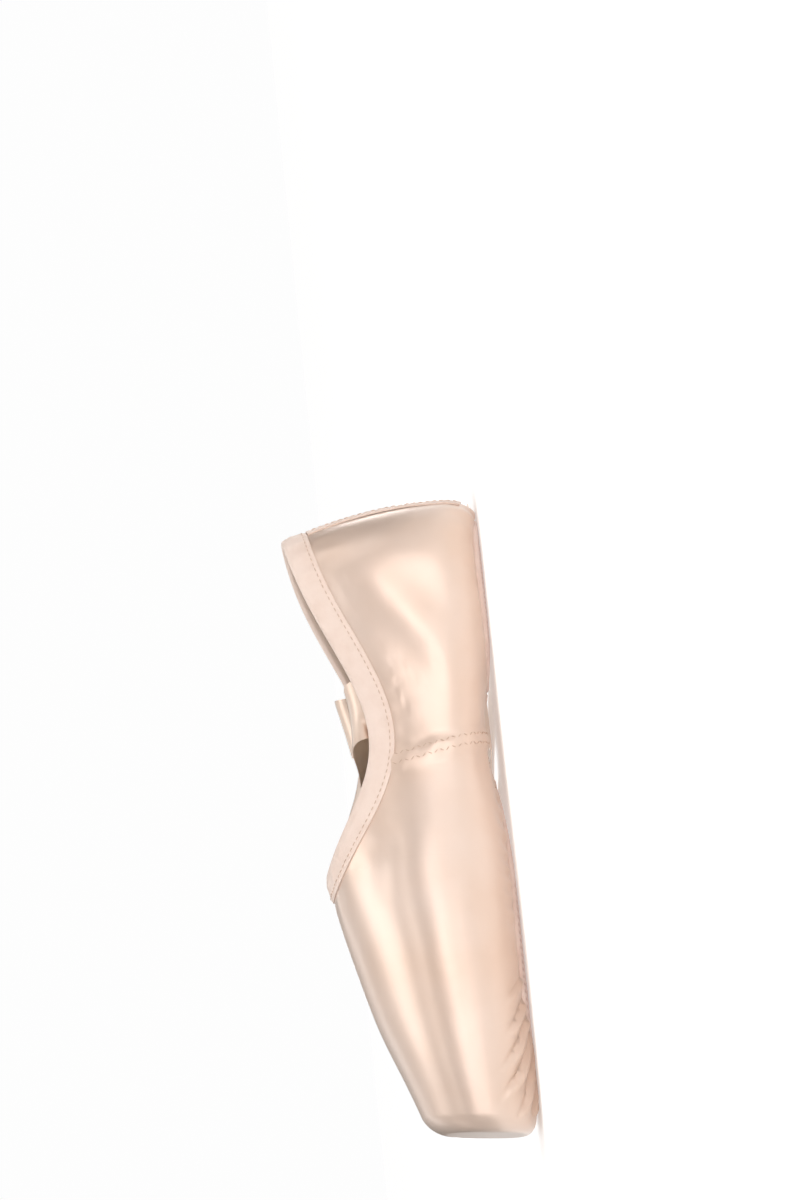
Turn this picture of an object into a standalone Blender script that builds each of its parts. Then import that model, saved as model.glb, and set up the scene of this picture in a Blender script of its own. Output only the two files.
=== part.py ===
# A pointe shoe, empty and unbent, standing on its two sole patches.
# Metres, +Z up, toe towards +X. The origin is on the floor, halfway along the shoe.
# The shoe is straight lasted, so its left half mirrors its right half.

import math

import bpy
import numpy as np
from mathutils import Vector
from mathutils.bvhtree import BVHTree

# Sizes of the last, measured over the satin
SHOE_LENGTH = 0.230
BALL_WIDTH = 0.079
WAIST_WIDTH = 0.054
HEEL_WIDTH = 0.057
TOE_WIDTH = 0.052
TOE_HEIGHT = 0.0395
INSTEP_HEIGHT = 0.0665
ARCH_LIFT = 0.0042

# Collar
VAMP_LENGTH = 0.098
SIDE_HEIGHT = 0.0455
HEEL_HEIGHT = 0.070
COLLAR_LEAN = 0.009

# Walls and cloths
QUARTER_WALL = 0.0015
BOX_WALL = 0.0030
CLOTH_THICKNESS = 0.0006
FIT_GAP = 0.0003

# Ends of the last
HEEL_ROUND = 0.031
HEEL_FOOT_DEPTH = 0.005
HEEL_FOOT_HEIGHT = 0.012
HEEL_SHEAR_REACH = 0.055
TOE_EDGE = 0.0065
PLATFORM_TILT = math.radians(6)
PLATFORM_REACH = 0.045
PLATFORM_SET_BACK = 0.0005

# Sole patches and insole
SOLE_THICKNESS = 0.0022
SOLE_PROUD = 0.0008
SOLE_FLAT = 0.00025
LASTING_WALL = 0.0012
LASTING_MARGIN = 0.007
FOREPART_START = 0.104
FOREPART_LENGTH = 0.096
FOREPART_WIDTH = 0.047
HEEL_SOLE_START = 0.0075
HEEL_SOLE_LENGTH = 0.063
HEEL_SOLE_WIDTH = 0.039
INSOLE_THICKNESS = 0.0016
INSOLE_HEEL_SPACE = 0.013
INSOLE_TOE_SPACE = 0.030
INSOLE_SPREAD = 0.70
INSOLE_GAP = 0.0006

# Trim
BINDING_WIDTH = 0.0085
BINDING_INSIDE = 0.0070
BINDING_GAP = 0.0005
STAY_WIDTH = 0.022
SEAM_START = 0.088
SEAM_LEAN = 0.008
SEAM_WIDTH = 0.006
SEAM_RAISE = 0.0007

# Ribbons
RIBBON_LENGTH = 0.50
RIBBON_WIDTH = 0.022
RIBBON_THICKNESS = 0.0006
RIBBON_START = 0.075
RIBBON_SEWN = 0.020
RIBBON_GAP = 0.0005

THROAT = SHOE_LENGTH - VAMP_LENGTH
MIDDLE = SHOE_LENGTH / 2 - PLATFORM_SET_BACK / 2 - (BINDING_GAP + CLOTH_THICKNESS) / 2
BOTTOM_WALL = SOLE_THICKNESS - SOLE_PROUD + SOLE_FLAT + FIT_GAP + LASTING_WALL

# Sections of the last, from the heel (0) to the toe (1). Heights are above the floor:
# widest is where the section is widest, crown its top if it were closed, floor its bottom.
# low and high are how square its lower and upper halves are; 2 is an ellipse.
SECTION_COLUMNS = ("along", "half_width", "widest", "crown", "floor", "low", "high")
SECTIONS = (
    (0.00, 0.480 * HEEL_WIDTH, 0.31 * HEEL_HEIGHT, 1.30 * HEEL_HEIGHT, SOLE_PROUD, 3.4, 2.0),
    (0.12, 0.500 * HEEL_WIDTH, 0.31 * HEEL_HEIGHT, 1.24 * HEEL_HEIGHT, SOLE_PROUD, 3.5, 2.1),
    (0.25, 0.490 * HEEL_WIDTH, 0.30 * HEEL_HEIGHT, 1.05 * HEEL_HEIGHT, SOLE_PROUD + 0.12 * ARCH_LIFT, 3.3, 2.2),
    (0.39, 0.500 * WAIST_WIDTH, 0.46 * SIDE_HEIGHT, 1.38 * SIDE_HEIGHT, SOLE_PROUD + ARCH_LIFT, 2.9, 2.2),
    (0.50, 0.405 * BALL_WIDTH, 0.34 * INSTEP_HEIGHT, 0.99 * INSTEP_HEIGHT, SOLE_PROUD + 0.38 * ARCH_LIFT, 2.9, 2.2),
    (0.60, 0.470 * BALL_WIDTH, 0.36 * INSTEP_HEIGHT, 0.98 * INSTEP_HEIGHT, SOLE_PROUD, 3.0, 2.2),
    (0.70, 0.500 * BALL_WIDTH, 0.36 * INSTEP_HEIGHT, 0.91 * INSTEP_HEIGHT, SOLE_PROUD, 3.0, 2.25),
    (0.80, 0.480 * BALL_WIDTH, 0.35 * INSTEP_HEIGHT, 0.82 * INSTEP_HEIGHT, SOLE_PROUD, 3.0, 2.3),
    (0.90, 0.640 * TOE_WIDTH, 0.56 * TOE_HEIGHT, 1.19 * TOE_HEIGHT, SOLE_PROUD, 2.9, 2.4),
    (1.00, 0.500 * TOE_WIDTH, 0.51 * TOE_HEIGHT, 1.00 * TOE_HEIGHT, 1.8 * SOLE_PROUD, 2.7, 2.4),
)

# The collar's edge from the heel (0) to the throat (1), seen from the side:
# its height is a mix of the heel's, the side's and the crown's height at the throat.
COLLAR_COLUMNS = ("along", "heel", "side", "crown")
COLLAR = (
    (0.00, 1.02, 0.00, 0.00),
    (0.07, 1.00, 0.00, 0.00),
    (0.23, 0.78, 0.22, 0.00),
    (0.42, 0.35, 0.65, 0.00),
    (0.60, 0.03, 0.97, 0.00),
    (0.72, 0.00, 0.95, 0.06),
    (0.83, 0.00, 0.61, 0.39),
    (0.92, 0.00, 0.27, 0.73),
    (1.00, 0.00, 0.00, 1.00),
)

# Outlines of the sole patches: where each is widest along its length, and how blunt
# its heel end and toe end are, as the powers of (1 - q ** first) ** second.
OUTLINES = {
    "forepart_sole": {"widest": 0.72, "heel_end": (2.5, 0.80), "toe_end": (3.0, 0.48)},
    "heel_sole": {"widest": 0.42, "heel_end": (2.4, 0.46), "toe_end": (2.1, 0.52)},
}

# Routes of the ribbons from the collar to the floor, a row for each bend: distance from
# the heel, distance to the left, height, and where the ribbon's width points: yaw from
# straight ahead and slope, in degrees. On the floor, slope is how far it leans on one edge.
# The left one crosses over the collar, and both lie to the right of the shoe.
ROUTE_COLUMNS = ("along", "left", "height", "yaw", "slope")
ROUTES = {
    "ribbon_left": (
        (0.0752, 0.0182, 0.0495, 0, 0),
        (0.0775, 0.0150, 0.0520, 10, 0),
        (0.0835, 0.0070, 0.0512, 20, 3),
        (0.0900, -0.0030, 0.0490, 20, 10),
        (0.0975, -0.0140, 0.0500, 12, 17),
        (0.1020, -0.0228, 0.0538, 4, 20),
        (0.1032, -0.0300, 0.0455, -8, 14),
        (0.1035, -0.0332, 0.0300, -12, 6),
        (0.1040, -0.0355, 0.0150, -12, 0),
        (0.1055, -0.0470, 0.0030, 0, 0),
        (0.1120, -0.0850, 0.0000, 0, 0),
        (0.1195, -0.1280, 0.0000, 0, 8),
        (0.1270, -0.1700, 0.0000, 0, 35),
        (0.1442, -0.1972, 0.0000, 0, 58),
        (0.1755, -0.2043, 0.0000, 0, 64),
        (0.2027, -0.1871, 0.0000, 0, 58),
        (0.2098, -0.1558, 0.0000, 0, 35),
        (0.2030, -0.1164, 0.0000, 0, 8),
        (0.1962, -0.0770, 0.0000, 0, 0),
        (0.1905, -0.0440, 0.0000, 0, 0),
    ),
    "ribbon_right": (
        (0.0755, -0.0182, 0.0520, 0, -8),
        (0.0752, -0.0232, 0.0550, 0, -12),
        (0.0748, -0.0282, 0.0490, 0, -6),
        (0.0740, -0.0298, 0.0360, 0, 0),
        (0.0730, -0.0308, 0.0220, 0, 0),
        (0.0715, -0.0350, 0.0090, 0, 0),
        (0.0720, -0.0520, 0.0020, 0, 0),
        (0.0785, -0.0900, 0.0000, 0, 0),
        (0.0865, -0.1360, 0.0000, 0, -8),
        (0.0946, -0.1828, 0.0000, 0, -35),
        (0.0893, -0.2067, 0.0000, 0, -60),
        (0.0685, -0.2197, 0.0000, 0, -66),
        (0.0447, -0.2144, 0.0000, 0, -60),
        (0.0316, -0.1936, 0.0000, 0, -35),
        (0.0248, -0.1542, 0.0000, 0, -8),
        (0.0180, -0.1148, 0.0000, 0, 0),
        (0.0112, -0.0754, 0.0000, 0, 0),
        (0.0040, -0.0340, 0.0000, 0, 0),
    ),
}


def spline(xs, ys):
    """The natural cubic curve through these points, as a function."""
    xs, ys = np.array(xs, float), np.array(ys, float)
    gaps = np.diff(xs)
    slopes = np.diff(ys) / gaps
    system, right = np.eye(len(xs)), np.zeros(len(xs))
    for i in range(1, len(xs) - 1):
        system[i, i - 1 : i + 2] = gaps[i - 1], 2 * (gaps[i - 1] + gaps[i]), gaps[i]
        right[i] = 6 * (slopes[i] - slopes[i - 1])
    bend = np.linalg.solve(system, right)

    def at(x):
        x = np.clip(x, xs[0], xs[-1])
        i = np.clip(np.searchsorted(xs, x) - 1, 0, len(gaps) - 1)
        after, before, gap = xs[i + 1] - x, x - xs[i], gaps[i]
        curved = (bend[i] * after**3 + bend[i + 1] * before**3) / (6 * gap)
        start = (ys[i] / gap - bend[i] * gap / 6) * after
        end = (ys[i + 1] / gap - bend[i + 1] * gap / 6) * before
        return curved + start + end

    return at


def smooth(x, start, end):
    """0 before start, 1 after end, and a soft ramp between them."""
    t = np.clip((x - start) / (end - start), 0, 1)
    return t * t * (3 - 2 * t)


COLUMN = dict(zip(SECTION_COLUMNS, zip(*SECTIONS)))
CURVE = {name: spline(COLUMN["along"], COLUMN[name]) for name in SECTION_COLUMNS[1:]}
COLLAR_SHARE = dict(zip(COLLAR_COLUMNS, zip(*COLLAR)))


def collar_height(x):
    """Height of the collar's edge at a distance from the heel, seen from the side."""
    sizes = {"heel": HEEL_HEIGHT, "side": SIDE_HEIGHT, "crown": section(THROAT)["crown"]}
    heights = sum(np.array(COLLAR_SHARE[name]) * size for name, size in sizes.items())
    return spline(COLLAR_SHARE["along"], heights)(x / THROAT)


def section(x):
    """The sizes of the last's section at a distance from the heel, with its ends rounded."""
    sizes = {name: curve(x / SHOE_LENGTH) for name, curve in CURVE.items()}
    heel = max(0.0, 1 - x / HEEL_ROUND)
    sizes["half_width"] *= (1 - heel**2.2) ** (1 / 2.2)
    past = min(max(0.0, x - (SHOE_LENGTH - TOE_EDGE)), TOE_EDGE)
    inset = TOE_EDGE - math.sqrt(TOE_EDGE**2 - past**2)
    sizes["half_width"] -= inset
    sizes["crown"] -= inset
    sizes["floor"] += 0.7 * inset
    return sizes


def shifted(x, z):
    """How far a point of the section at x moves along the shoe, for the heel's curved
    back and the platform's tilt."""
    foot = np.clip((SOLE_PROUD + HEEL_FOOT_HEIGHT - z) / HEEL_FOOT_HEIGHT, 0, 1)
    widest = CURVE["widest"](0)
    above = np.clip((z - widest) / (HEEL_HEIGHT - widest), 0, None)
    back = HEEL_FOOT_DEPTH * (1 - np.sqrt(1 - foot**2)) + COLLAR_LEAN * above**1.7
    near_heel = max(0.0, 1 - x / HEEL_SHEAR_REACH) ** 2
    near_toe = smooth(x, SHOE_LENGTH - PLATFORM_REACH, SHOE_LENGTH)
    return back * near_heel - near_toe * math.tan(PLATFORM_TILT) * (z - SOLE_PROUD)


def rib(x, shrink, count):
    """count + 1 points evenly spaced round the right half of the section at x, from
    the middle of the bottom to the collar's edge, or to the crown in front of it."""
    size = section(x)
    angle = np.linspace(-math.pi / 2, math.pi / 2, 721)
    low, high = angle < 0, angle >= 0
    power = np.where(low, 2 / size["low"], 2 / size["high"])
    across, up = np.clip(np.cos(angle), 0, 1) ** power, np.abs(np.sin(angle)) ** power
    reach = np.where(low, size["floor"] - size["widest"], size["crown"] - size["widest"])
    y, z = size["half_width"] * across, size["widest"] + reach * up
    middle = (size["floor"] + size["crown"]) / 2
    y, z = y * shrink, middle + (z - middle) * shrink
    points = np.stack([x + shifted(x, z), y, z], axis=1)
    if x < THROAT - 1e-9:
        over = z - collar_height(points[:, 0])
        last = int(np.flatnonzero(high & (over > 0))[0])
        part = over[last - 1] / (over[last - 1] - over[last])
        edge = points[last - 1] + part * (points[last] - points[last - 1])
        points = np.vstack([points[:last], edge])
    along = np.concatenate([[0], np.cumsum(np.linalg.norm(np.diff(points, axis=0), axis=1))])
    at = np.linspace(0, along[-1], count + 1)
    return np.stack([np.interp(at, along, points[:, k]) for k in range(3)], axis=1)


def rib_places(finer=1):
    """Where the ribs stand, as (distance from the heel, shrink) pairs. Shrink is under
    1 only on the flat platform, whose ribs close in on its middle."""
    turn = np.linspace(0, math.pi / 2, 7 * finer + 1)
    near_throat = 0.030
    heel = HEEL_ROUND * (1 - np.cos(turn))
    quarter = np.linspace(HEEL_ROUND, THROAT - near_throat, 8 * finer + 1)[1:]
    throat = THROAT - near_throat * np.linspace(1, 0, 8 * finer + 1)[1:] ** 1.6
    vamp = np.linspace(THROAT, SHOE_LENGTH - TOE_EDGE, 9 * finer + 1)[1:]
    edge = SHOE_LENGTH - TOE_EDGE + TOE_EDGE * np.sin(np.linspace(0, math.pi / 2, 4 * finer + 1)[1:])
    whole = [(x, 1.0) for x in np.concatenate([heel, quarter, throat, vamp, edge])]
    return whole + [(SHOE_LENGTH, shrink) for shrink in np.linspace(1, 0, 2 * finer + 1)[1:]]


def seam_raise(points):
    """How far the side seam stands out of the satin at each point."""
    height = (points[..., 2] - SOLE_PROUD) / SIDE_HEIGHT
    away = np.abs(points[..., 0] - SEAM_START - SEAM_LEAN * height) / (SEAM_WIDTH / 2)
    below_binding = 1 - smooth(points[..., 2], SIDE_HEIGHT - 2 * BINDING_WIDTH, SIDE_HEIGHT - 1.3 * BINDING_WIDTH)
    above_sole = smooth(points[..., 2], 2 * SOLE_PROUD + ARCH_LIFT, 3 * SOLE_PROUD + 2 * ARCH_LIFT)
    return SEAM_RAISE * (1 - smooth(away, 0.8, 1.3)) * below_binding * above_sole


def grid_faces(rows, columns, outward=True, split=False):
    """The faces of a grid of points numbered row by row, split into triangles if asked."""
    faces = []
    for r in range(rows - 1):
        for c in range(columns - 1):
            a, b = r * columns + c, (r + 1) * columns + c
            halves = [(a, a + 1, b + 1), (a, b + 1, b)] if split else [(a, a + 1, b + 1, b)]
            faces += halves if outward else [half[::-1] for half in halves]
    return faces


def weld(points, faces):
    """Points in one place made one, and faces that collapse left out."""
    _, first, index = np.unique(
        np.round(points * 1e7).astype(np.int64), axis=0, return_index=True, return_inverse=True
    )
    index = index.reshape(-1)
    kept = []
    for face in faces:
        ring = [int(index[v]) for v in face]
        ring = [v for i, v in enumerate(ring) if v != ring[i - 1]]
        if len(ring) > 2:
            kept.append(tuple(ring))
    return points[first], kept


def vertex_normals(points, faces):
    """The normal of the surface at each point."""
    normals = np.zeros_like(points)
    for face in faces:
        ring = points[list(face)]
        normal = np.cross(ring[2] - ring[0], ring[-1] - ring[1])
        normals[list(face)] += normal
    return normals / np.linalg.norm(normals, axis=1)[:, None]


def skin(finer=1, columns=14):
    """The outside of the upper as points and faces, both halves joined."""
    ribs = np.array([rib(x, shrink, columns) for x, shrink in rib_places(finer)])
    rows = len(ribs)
    right = ribs.reshape(-1, 3)
    left = right * (1, -1, 1)
    faces = grid_faces(rows, columns + 1)
    other = [tuple(v + len(right) for v in face[::-1]) for face in faces]
    return weld(np.vstack([right, left]), faces + other)


def thickened(points, faces, wall):
    """A closed wall between a surface and itself moved inwards, with a rim at its edges."""
    normals = vertex_normals(points, faces)
    inner = points - normals * wall(points, normals)[:, None]
    count = len(points)
    edges = {}
    for face in faces:
        for i, v in enumerate(face):
            edges[(face[i - 1], v)] = True
    rim = [(b, a, a + count, b + count) for a, b in edges if (b, a) not in edges]
    inside = [tuple(v + count for v in face[::-1]) for face in faces]
    return np.vstack([points, inner]), faces + inside + rim


def upper_wall(points, normals):
    """The wall: thin at the quarters, stiff round the toes, and thick where it is lasted."""
    side = QUARTER_WALL + (BOX_WALL - QUARTER_WALL) * smooth(
        points[:, 0], THROAT + 1.2 * BINDING_WIDTH, THROAT + 0.5 * VAMP_LENGTH
    )
    return side + (BOTTOM_WALL - side) * smooth(-normals[:, 2], 0.45, 0.85)


def bottom_height(x, y):
    """Height and crosswise slope of the satin's underside."""
    size = section(x)
    share = min(abs(y) / size["half_width"], 0.95)
    deep = size["widest"] - size["floor"]
    rest = 1 - share ** size["low"]
    height = size["floor"] + deep * (1 - rest ** (1 / size["low"]))
    slope = deep / size["half_width"] * share ** (size["low"] - 1) * rest ** (1 / size["low"] - 1)
    return height, slope


def slab(lower, upper, split=False):
    """A closed solid between two grids of points, the upper one above the lower one.
    Split gives both the same diagonals, so that a twisted strip keeps its thickness."""
    rows, columns = lower.shape[:2]
    count = rows * columns
    faces = grid_faces(rows, columns, split=split)
    faces += [tuple(v + count for v in face) for face in grid_faces(rows, columns, False, split)]
    ring = [c for c in range(columns)]
    ring += [r * columns + columns - 1 for r in range(1, rows)]
    ring += [(rows - 1) * columns + c for c in range(columns - 2, -1, -1)]
    ring += [r * columns for r in range(rows - 2, 0, -1)]
    faces += [(b, a, a + count, b + count) for a, b in zip(ring, ring[1:] + ring[:1])]
    return weld(np.vstack([lower.reshape(-1, 3), upper.reshape(-1, 3)]), faces)


def outline_share(name, s):
    """Half the width of a sole patch, as a share of its widest, at s along it."""
    shape = OUTLINES[name]
    widest = shape["widest"]
    if s < widest:
        q, (first, second) = (widest - s) / widest, shape["heel_end"]
    else:
        q, (first, second) = (s - widest) / (1 - widest), shape["toe_end"]
    return (1 - min(q, 1.0) ** first) ** second


def patch(name, start, length, width, grow=0.0, below=0.0, above=SOLE_THICKNESS, rows=14, columns=6):
    """A sole patch that follows the satin's underside, flat where it meets the floor.
    grow widens its outline, and below and above move its faces, for a cutter."""
    turn = (1 - np.cos(np.linspace(0, math.pi, rows + 1))) / 2
    lower = np.zeros((rows + 1, columns + 1, 3))
    for r, s in enumerate(turn):
        half = (width / 2 + grow) * outline_share(name, s)
        x = start - grow + s * (length + 2 * grow)
        for c, share in enumerate(np.linspace(-1, 1, columns + 1)):
            y = half * share
            height = bottom_height(x, y)[0] - SOLE_PROUD - SOLE_FLAT
            lower[r, c] = x, y, max(0.0, height)
    return slab(lower - (0, 0, below), lower + (0, 0, above))


def insole(inside, rows=22, columns=6):
    """The sock that covers the inside of the bottom, laid on the lasted wall."""
    start, end = INSOLE_HEEL_SPACE, SHOE_LENGTH - INSOLE_TOE_SPACE
    round_end = 0.24
    lower = np.zeros((rows + 1, columns + 1, 3))
    for r, s in enumerate((1 - np.cos(np.linspace(0, math.pi, rows + 1))) / 2):
        x = start + s * (end - start)
        closing = max(0.0, 1 - s / round_end, 1 - (1 - s) / round_end)
        size = section(x)
        half = INSOLE_SPREAD * size["half_width"] * (1 - closing**2.4) ** (1 / 2.4)
        for c, share in enumerate(np.linspace(-1, 1, columns + 1)):
            start_point = Vector((x, half * share, size["widest"]))
            place, normal, _, _ = inside.ray_cast(start_point, Vector((0, 0, -1)))
            lower[r, c] = x, half * share, place.z + INSOLE_GAP / max(0.5, abs(normal.z))
    return slab(lower, lower + (0, 0, INSOLE_THICKNESS))


class Skin:
    """The upper's outside, to find its nearest point and normal."""

    def __init__(self):
        points, faces = skin(finer=3, columns=60)
        self.tree = BVHTree.FromPolygons([Vector(p) for p in points], faces)

    def near(self, point):
        place, normal, _, _ = self.tree.find_nearest(Vector(point))
        return np.array(place), np.array(normal)


def collar_path(columns=14):
    """The collar's edge as a closed loop of points, from the throat round the heel."""
    edge = [rib(x, 1.0, columns)[-1] for x, _ in rib_places() if x < THROAT + 1e-9]
    right = edge[::-1]
    left = [point * (1, -1, 1) for point in edge[1:-1]]
    return np.array(right + left)


def topline_binding(surface):
    """The folded band round the collar's edge: an outer leg, the fold and an inner leg."""
    path = collar_path()
    wall = QUARTER_WALL
    rings = []
    for i, point in enumerate(path):
        along = path[(i + 1) % len(path)] - path[i - 1]
        _, normal = surface.near(point)
        down = np.cross(along, normal)
        down /= np.linalg.norm(down)
        normal = np.cross(down, along)
        normal /= np.linalg.norm(normal)
        far, far_normal = surface.near(point + down * BINDING_WIDTH)
        half, half_normal = surface.near(point + down * BINDING_WIDTH / 2)
        inside, inside_normal = surface.near(point + down * BINDING_INSIDE)
        out_near, out_far = BINDING_GAP, BINDING_GAP + CLOTH_THICKNESS
        in_near = -(wall + 1.5 * BINDING_GAP)
        in_far = in_near - CLOTH_THICKNESS
        rings.append([
            far + far_normal * out_far,
            half + half_normal * out_far,
            point + normal * out_far,
            point + normal * (out_near - wall / 4) - down * out_far,
            point + normal * (in_near + wall / 4) - down * out_far,
            point + normal * in_far,
            inside + inside_normal * in_far,
            inside + inside_normal * in_near,
            point + normal * in_near - down * FIT_GAP,
            point + normal * out_near - down * FIT_GAP,
            half + half_normal * out_near,
            far + far_normal * out_near,
        ])
    rings = np.array(rings)
    count = rings.shape[1]
    faces = []
    for r in range(len(rings)):
        for c in range(count):
            a, b = r * count, (r + 1) % len(rings) * count
            d = (c + 1) % count
            faces.append((a + c, b + c, b + d, a + d))
    return weld(rings.reshape(-1, 3), faces)


def heel_stay(surface, rows=10, columns=8):
    """The tape over the back seam, from the binding down to the heel's patch."""
    top = rib(0, 1.0, 200)
    height = HEEL_HEIGHT - BINDING_WIDTH - 2 * FIT_GAP
    line = top[(top[:, 2] < height)]
    picks = np.linspace(len(line) - 1, int(0.10 * len(line)), rows + 1).astype(int)
    half = STAY_WIDTH / 2
    lower = np.zeros((rows + 1, columns + 1, 3))
    outer = np.zeros_like(lower)
    for r, pick in enumerate(picks):
        for c, y in enumerate(np.linspace(-half, half, columns + 1)):
            place, normal = surface.near(line[pick] + (0, y, 0))
            lower[r, c] = place + normal * BINDING_GAP
            outer[r, c] = place + normal * (BINDING_GAP + CLOTH_THICKNESS)
    return slab(outer, lower)


def sewn_end(surface, side):
    """The end of a ribbon inside the quarter, from its lowest row up to the collar."""
    wall = rib(RIBBON_START, 1.0, 400)
    below = np.linalg.norm(np.diff(wall, axis=0), axis=1)[::-1].cumsum()
    rows = []
    for depth in (RIBBON_SEWN, 0.7 * RIBBON_SEWN, 0.45 * RIBBON_SEWN, 0.2 * RIBBON_SEWN, 0.0):
        point = wall[len(wall) - 1 - int(np.searchsorted(below, depth))]
        covered = 1 - smooth(depth, BINDING_INSIDE, 0.7 * RIBBON_SEWN)
        clear = QUARTER_WALL + RIBBON_GAP + RIBBON_THICKNESS / 2
        clear += covered * (1.8 * BINDING_GAP + CLOTH_THICKNESS)
        row = []
        for across in (-0.5, 0.0, 0.5):
            place, normal = surface.near(point + (across * RIBBON_WIDTH, 0, 0))
            row.append((place - normal * clear) * (1, side, 1))
        rows.append(row)
    return np.array(rows)


def ribbon(surface, name, stations=44):
    """A flat ribbon from inside the quarter, over the collar and along its route on the floor."""
    side = 1 if name == "ribbon_left" else -1
    sewn = sewn_end(surface, side)
    route = np.array(ROUTES[name])
    points = np.vstack([sewn[:, 1], route[:, :3]])
    along = np.concatenate([[0], np.cumsum(np.linalg.norm(np.diff(points, axis=0), axis=1))])
    curves = [spline(along, points[:, k]) for k in range(3)]
    yaw, slope = (spline(along, np.concatenate([np.zeros(len(sewn)), route[:, k]])) for k in (3, 4))
    fine = np.linspace(0, along[-1], 4001)
    path = np.stack([curve(fine) for curve in curves], axis=1)
    travelled = np.concatenate([[0], np.cumsum(np.linalg.norm(np.diff(path, axis=0), axis=1))])
    start = travelled[int(np.searchsorted(fine, along[len(sewn) - 1]))]
    end = min(RIBBON_LENGTH, travelled[-1] - 0.001)
    at = start + (end - start) * np.linspace(0, 1, stations + 1)[1:] ** 1.35
    centres = np.stack([np.interp(at, travelled, path[:, k]) for k in range(3)], axis=1)
    ahead = np.stack([np.interp(at + 1e-4, travelled, path[:, k]) for k in range(3)], axis=1)
    behind = np.stack([np.interp(at - 1e-4, travelled, path[:, k]) for k in range(3)], axis=1)
    tangents = (ahead - behind) / np.linalg.norm(ahead - behind, axis=1)[:, None]
    width = sewn[-1, 2] - sewn[-1, 0]
    lower, upper = [], []
    flat = np.cross(sewn[1, 1] - sewn[0, 1], width)
    flat *= RIBBON_THICKNESS / 2 / np.linalg.norm(flat)
    for row in sewn:
        lower.append(row - flat)
        upper.append(row + flat)
    for centre, tangent, place in zip(centres, tangents, np.interp(at, travelled, fine)):
        aside, rise = math.radians(float(yaw(place))), math.radians(float(slope(place)))
        level = np.cross(tangent, (0, 0, 1))
        level *= math.copysign(1, level.dot(width))
        face = np.cross(tangent, level)
        leaning = level * math.cos(rise) + face * math.sin(rise)
        level_rise = math.cos(rise)
        pointed = np.array([math.cos(aside) * level_rise, math.sin(aside) * level_rise, math.sin(rise)])
        down = smooth(0.02 - centre[2], 0.0, 0.018)
        spread = pointed * (1 - down) + leaning * down
        spread -= tangent * spread.dot(tangent)
        spread /= np.linalg.norm(spread)
        width = level if down > 0.5 else spread
        flat = np.cross(tangent, spread) * RIBBON_THICKNESS / 2
        row = centre + np.array([-0.5, 0.0, 0.5])[:, None] * spread * RIBBON_WIDTH
        lift = max(0.0, RIBBON_THICKNESS + abs(flat[2]) - row[:, 2].min())
        lower.append(row - flat + (0, 0, lift))
        upper.append(row + flat + (0, 0, lift))
    return slab(np.array(lower), np.array(upper), split=True)


MATERIALS = {
    "upper": ("satin", (0.86, 0.70, 0.58), 0.35),
    "topline_binding": ("binding", (0.88, 0.74, 0.65), 0.55),
    "heel_stay": ("binding", (0.88, 0.74, 0.65), 0.55),
    "forepart_sole": ("sole leather", (0.80, 0.62, 0.54), 0.6),
    "heel_sole": ("sole leather", (0.80, 0.62, 0.54), 0.6),
    "insole": ("sock", (0.85, 0.78, 0.70), 0.8),
    "ribbon": ("ribbon", (0.87, 0.69, 0.60), 0.4),
}


def material(name):
    label, colour, rough = MATERIALS[name]
    made = bpy.data.materials.get(label) or bpy.data.materials.new(label)
    made.use_nodes = True
    shader = made.node_tree.nodes["Principled BSDF"]
    shader.inputs["Base Color"].default_value = (*colour, 1)
    shader.inputs["Roughness"].default_value = rough
    return made


def add(name, points, faces, finish=None, helper=False):
    """An object made of these points, moved so that the shoe's middle is at x = 0."""
    mesh = bpy.data.meshes.new(name)
    mesh.from_pydata([tuple(p) for p in points - (MIDDLE, 0, 0)], [], faces)
    made = bpy.data.objects.new(name, mesh)
    bpy.context.scene.collection.objects.link(made)
    if helper:
        made.hide_render = True
        made.display_type = "WIRE"
    else:
        mesh.materials.append(material(finish or name))
        mesh.shade_smooth()
        mesh.set_sharp_from_angle(angle=math.radians(40))
    return made


def cut(target, cutter):
    modifier = target.modifiers.new(cutter.name, "BOOLEAN")
    modifier.operation = "DIFFERENCE"
    modifier.object = cutter


def main():
    for old in list(bpy.data.objects):
        bpy.data.objects.remove(old)
    surface = Skin()
    points, faces = skin()
    normals = vertex_normals(points, faces)
    points = points + normals * seam_raise(points)[:, None]
    shell_points, shell_faces = thickened(points, faces, upper_wall)
    upper = add("upper", shell_points, shell_faces)
    patches = {
        "forepart_sole": (FOREPART_START, FOREPART_LENGTH, FOREPART_WIDTH),
        "heel_sole": (HEEL_SOLE_START, HEEL_SOLE_LENGTH, HEEL_SOLE_WIDTH),
    }
    for name, sizes in patches.items():
        add(name, *patch(name, *sizes))
        seat = patch(name, *sizes, grow=FIT_GAP, below=0.01, above=SOLE_THICKNESS + FIT_GAP)
        cut(upper, add(name + "_seat", *seat, helper=True))
        opening = patch(name, *sizes, grow=-LASTING_MARGIN, below=0.005, above=SOLE_THICKNESS + 0.01)
        cut(upper, add(name + "_lasting", *opening, helper=True))
    inside = BVHTree.FromPolygons([Vector(p) for p in shell_points], shell_faces)
    add("insole", *insole(inside))
    add("topline_binding", *topline_binding(surface))
    add("heel_stay", *heel_stay(surface))
    for name in ROUTES:
        add(name, *ribbon(surface, name), finish="ribbon")


main()
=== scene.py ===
# Pointe shoe: satin, cloth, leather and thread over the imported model.
# Sizes in metres. The last is described from the heel (0) to the toe, and moved by
# last["middle"] when a mesh is made, so that the shoe's middle comes to x = 0.

import math
from functools import partial

import bpy
import numpy as np
from mathutils import Matrix, Vector
from mathutils.bvhtree import BVHTree


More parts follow.
